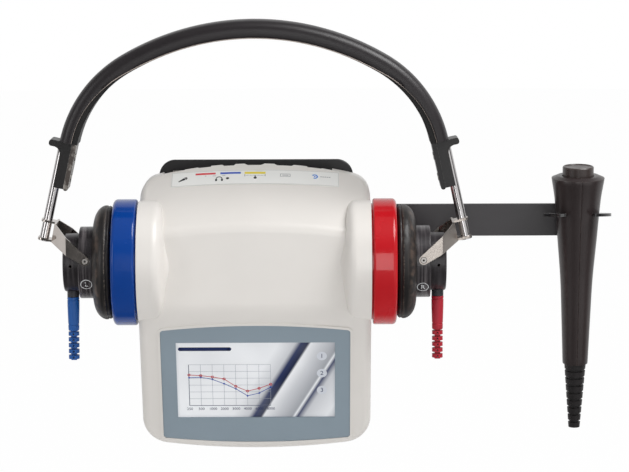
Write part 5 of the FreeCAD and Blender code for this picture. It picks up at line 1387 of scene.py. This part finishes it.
class AUDIOMETER_OT_stage(Maker, bpy.types.Operator):
    """Pale floor, soft room light, three soft lights and the camera"""
    bl_idname = "audiometer.stage"
    bl_label = "Stage"

    TARGET = (0.0363, -0.045, 0.0157)
    ROLL = math.radians(-0.22)
    FLOOR_R, FLOOR_SIDES, WHITE_SHARE = 7000.0, 96, 0.985

    def make(self, scene):
        looks = scene.audiometer_stage
        scene.view_settings.view_transform = "Standard"
        self.room(scene, looks)
        self.floor(looks)
        self.light("key_light", (1.1, -0.6, 1.75), (1.4, 1.1), looks.key)
        self.light("fill_light", (-1.5, -1.1, 0.55), (0.5, 1.1), looks.fill)
        self.light("front_light", (0.07, -1.85, 0.22), (0.36, 1.0), looks.front)
        camera = bpy.data.cameras.new("camera")
        camera.sensor_fit, camera.sensor_width, camera.lens = "HORIZONTAL", 36.0, looks.lens
        camera.clip_start, camera.clip_end = 0.05, 50.0
        obj = linked("camera", camera)
        target = Vector(self.TARGET)
        away = Vector((0, -math.cos(looks.elevation), math.sin(looks.elevation)))
        obj.location = target + away * looks.distance
        aim = (-away).to_track_quat("-Z", "Y").to_matrix().to_4x4()
        obj.rotation_euler = (aim @ Matrix.Rotation(self.ROLL, 4, "Z")).to_euler()
        scene.camera = obj

    def room(self, scene, looks):
        """Pale room: white to the camera and behind the device, dimmer where the camera stands."""
        world = bpy.data.worlds.new("room")
        scene.world = world
        world.use_nodes = True
        tree = world.node_tree
        tree.nodes.clear()
        path = tree.nodes.new("ShaderNodeLightPath").outputs
        way = tree.nodes.new("ShaderNodeTexCoord").outputs["Generated"]
        height = parts_of(tree, way)[2]
        soft = spread(tree, height, looks.surround * 0.7, looks.surround * 1.35, -1.0, 1.0)
        mirror = group_node(tree, studio_levels, {"Vector": way})["Level"]
        seen = sums(tree, "MAXIMUM", path["Is Glossy Ray"], path["Is Transmission Ray"])
        level = between(tree, seen, soft, mirror)
        level = between(tree, path["Is Camera Ray"], level, 1.0)
        sky = result(tree, "ShaderNodeBackground", {"Color": (1.0, 1.0, 1.0), "Strength": level})
        end = tree.nodes.new("ShaderNodeOutputWorld")
        tree.links.new(sky, end.inputs[0])

    def floor(self, looks):
        """Round pale floor that shows white to the camera but keeps a soft shadow."""
        material, tree, bsdf = new_material("floor_white")
        place = place_of(tree)
        mottle = noise_at(tree, place, 3.0)
        connect(tree, bsdf.inputs["Base Color"], mixed(tree, mottle, rgb(246, 246, 246), rgb(250, 250, 250)))
        bsdf.inputs["Roughness"].default_value = 0.9
        path = tree.nodes.new("ShaderNodeLightPath").outputs
        mirror = group_node(tree, studio_levels, {"Vector": place})["Level"]
        level = between(tree, path["Is Camera Ray"], mirror, 1.0)
        glow = result(tree, "ShaderNodeEmission", {"Color": (1.0, 1.0, 1.0), "Strength": level})
        seen = sums(tree, "MAXIMUM", path["Is Camera Ray"], path["Is Glossy Ray"])
        share = times(tree, seen, self.WHITE_SHARE)
        both = result(tree, "ShaderNodeMixShader", {0: share, 1: bsdf.outputs[0], 2: glow})
        end = next(n for n in tree.nodes if n.type == "OUTPUT_MATERIAL")
        tree.links.new(both, end.inputs[0])
        outline = disc(0.0, 0.0, self.FLOOR_R, self.FLOOR_SIDES)[0]
        mesh = mesh_of("floor", [(x, y, looks.floor / MM) for x, y in outline],
                       [tuple(range(self.FLOOR_SIDES))])
        mesh.materials.append(material)
        obj = linked("floor", mesh)

    def light(self, name, place, size, power):
        lamp = bpy.data.lights.new(name, "AREA")
        lamp.shape, lamp.size, lamp.size_y, lamp.energy = "RECTANGLE", size[0], size[1], power
        obj = linked(name, lamp)
        obj.location = place
        obj.rotation_euler = (Vector(self.TARGET) - Vector(place)).to_track_quat("-Z", "Y").to_euler()
        obj.visible_camera = False


GROUPS_OF_LOOKS = {"audiometer_case": CaseLooks, "audiometer_bracket": BracketLooks,
                   "audiometer_cups": CupLooks, "audiometer_screen": ScreenLooks,
                   "audiometer_band": BandLooks, "audiometer_cushions": CushionLooks,
                   "audiometer_switch": SwitchLooks, "audiometer_stage": StageLooks}
MAKERS = (AUDIOMETER_OT_stage, AUDIOMETER_OT_bracket, AUDIOMETER_OT_case, AUDIOMETER_OT_display,
          AUDIOMETER_OT_connectors, AUDIOMETER_OT_strip, AUDIOMETER_OT_cups, AUDIOMETER_OT_cushions,
          AUDIOMETER_OT_earphones, AUDIOMETER_OT_plugs, AUDIOMETER_OT_yokes, AUDIOMETER_OT_blocks,
          AUDIOMETER_OT_headband, AUDIOMETER_OT_handswitch)


class AUDIOMETER_PT_sidebar(bpy.types.Panel):
    """Buttons for the pieces and the sizes and colours they use"""
    bl_idname = "AUDIOMETER_PT_sidebar"
    bl_label = "Audiometer"
    bl_space_type = "VIEW_3D"
    bl_region_type = "UI"
    bl_category = "Audiometer"

    def draw(self, context):
        layout = self.layout
        for name, kind in GROUPS_OF_LOOKS.items():
            box = layout.box()
            looks = getattr(context.scene, name)
            for field in kind.__annotations__:
                box.prop(looks, field)
        for maker in MAKERS:
            layout.operator(maker.bl_idname)


def register():
    for kind in (*GROUPS_OF_LOOKS.values(), *MAKERS, AUDIOMETER_PT_sidebar):
        bpy.utils.register_class(kind)
    for name, kind in GROUPS_OF_LOOKS.items():
        setattr(bpy.types.Scene, name, PointerProperty(type=kind))


def unregister():
    for name in GROUPS_OF_LOOKS:
        delattr(bpy.types.Scene, name)
    for kind in (*GROUPS_OF_LOOKS.values(), *MAKERS, AUDIOMETER_PT_sidebar):
        bpy.utils.unregister_class(kind)


def main():
    register()
    for maker in MAKERS:
        group, action = maker.bl_idname.split(".")
        getattr(getattr(bpy.ops, group), action)()


if __name__ == "__main__":
    main()
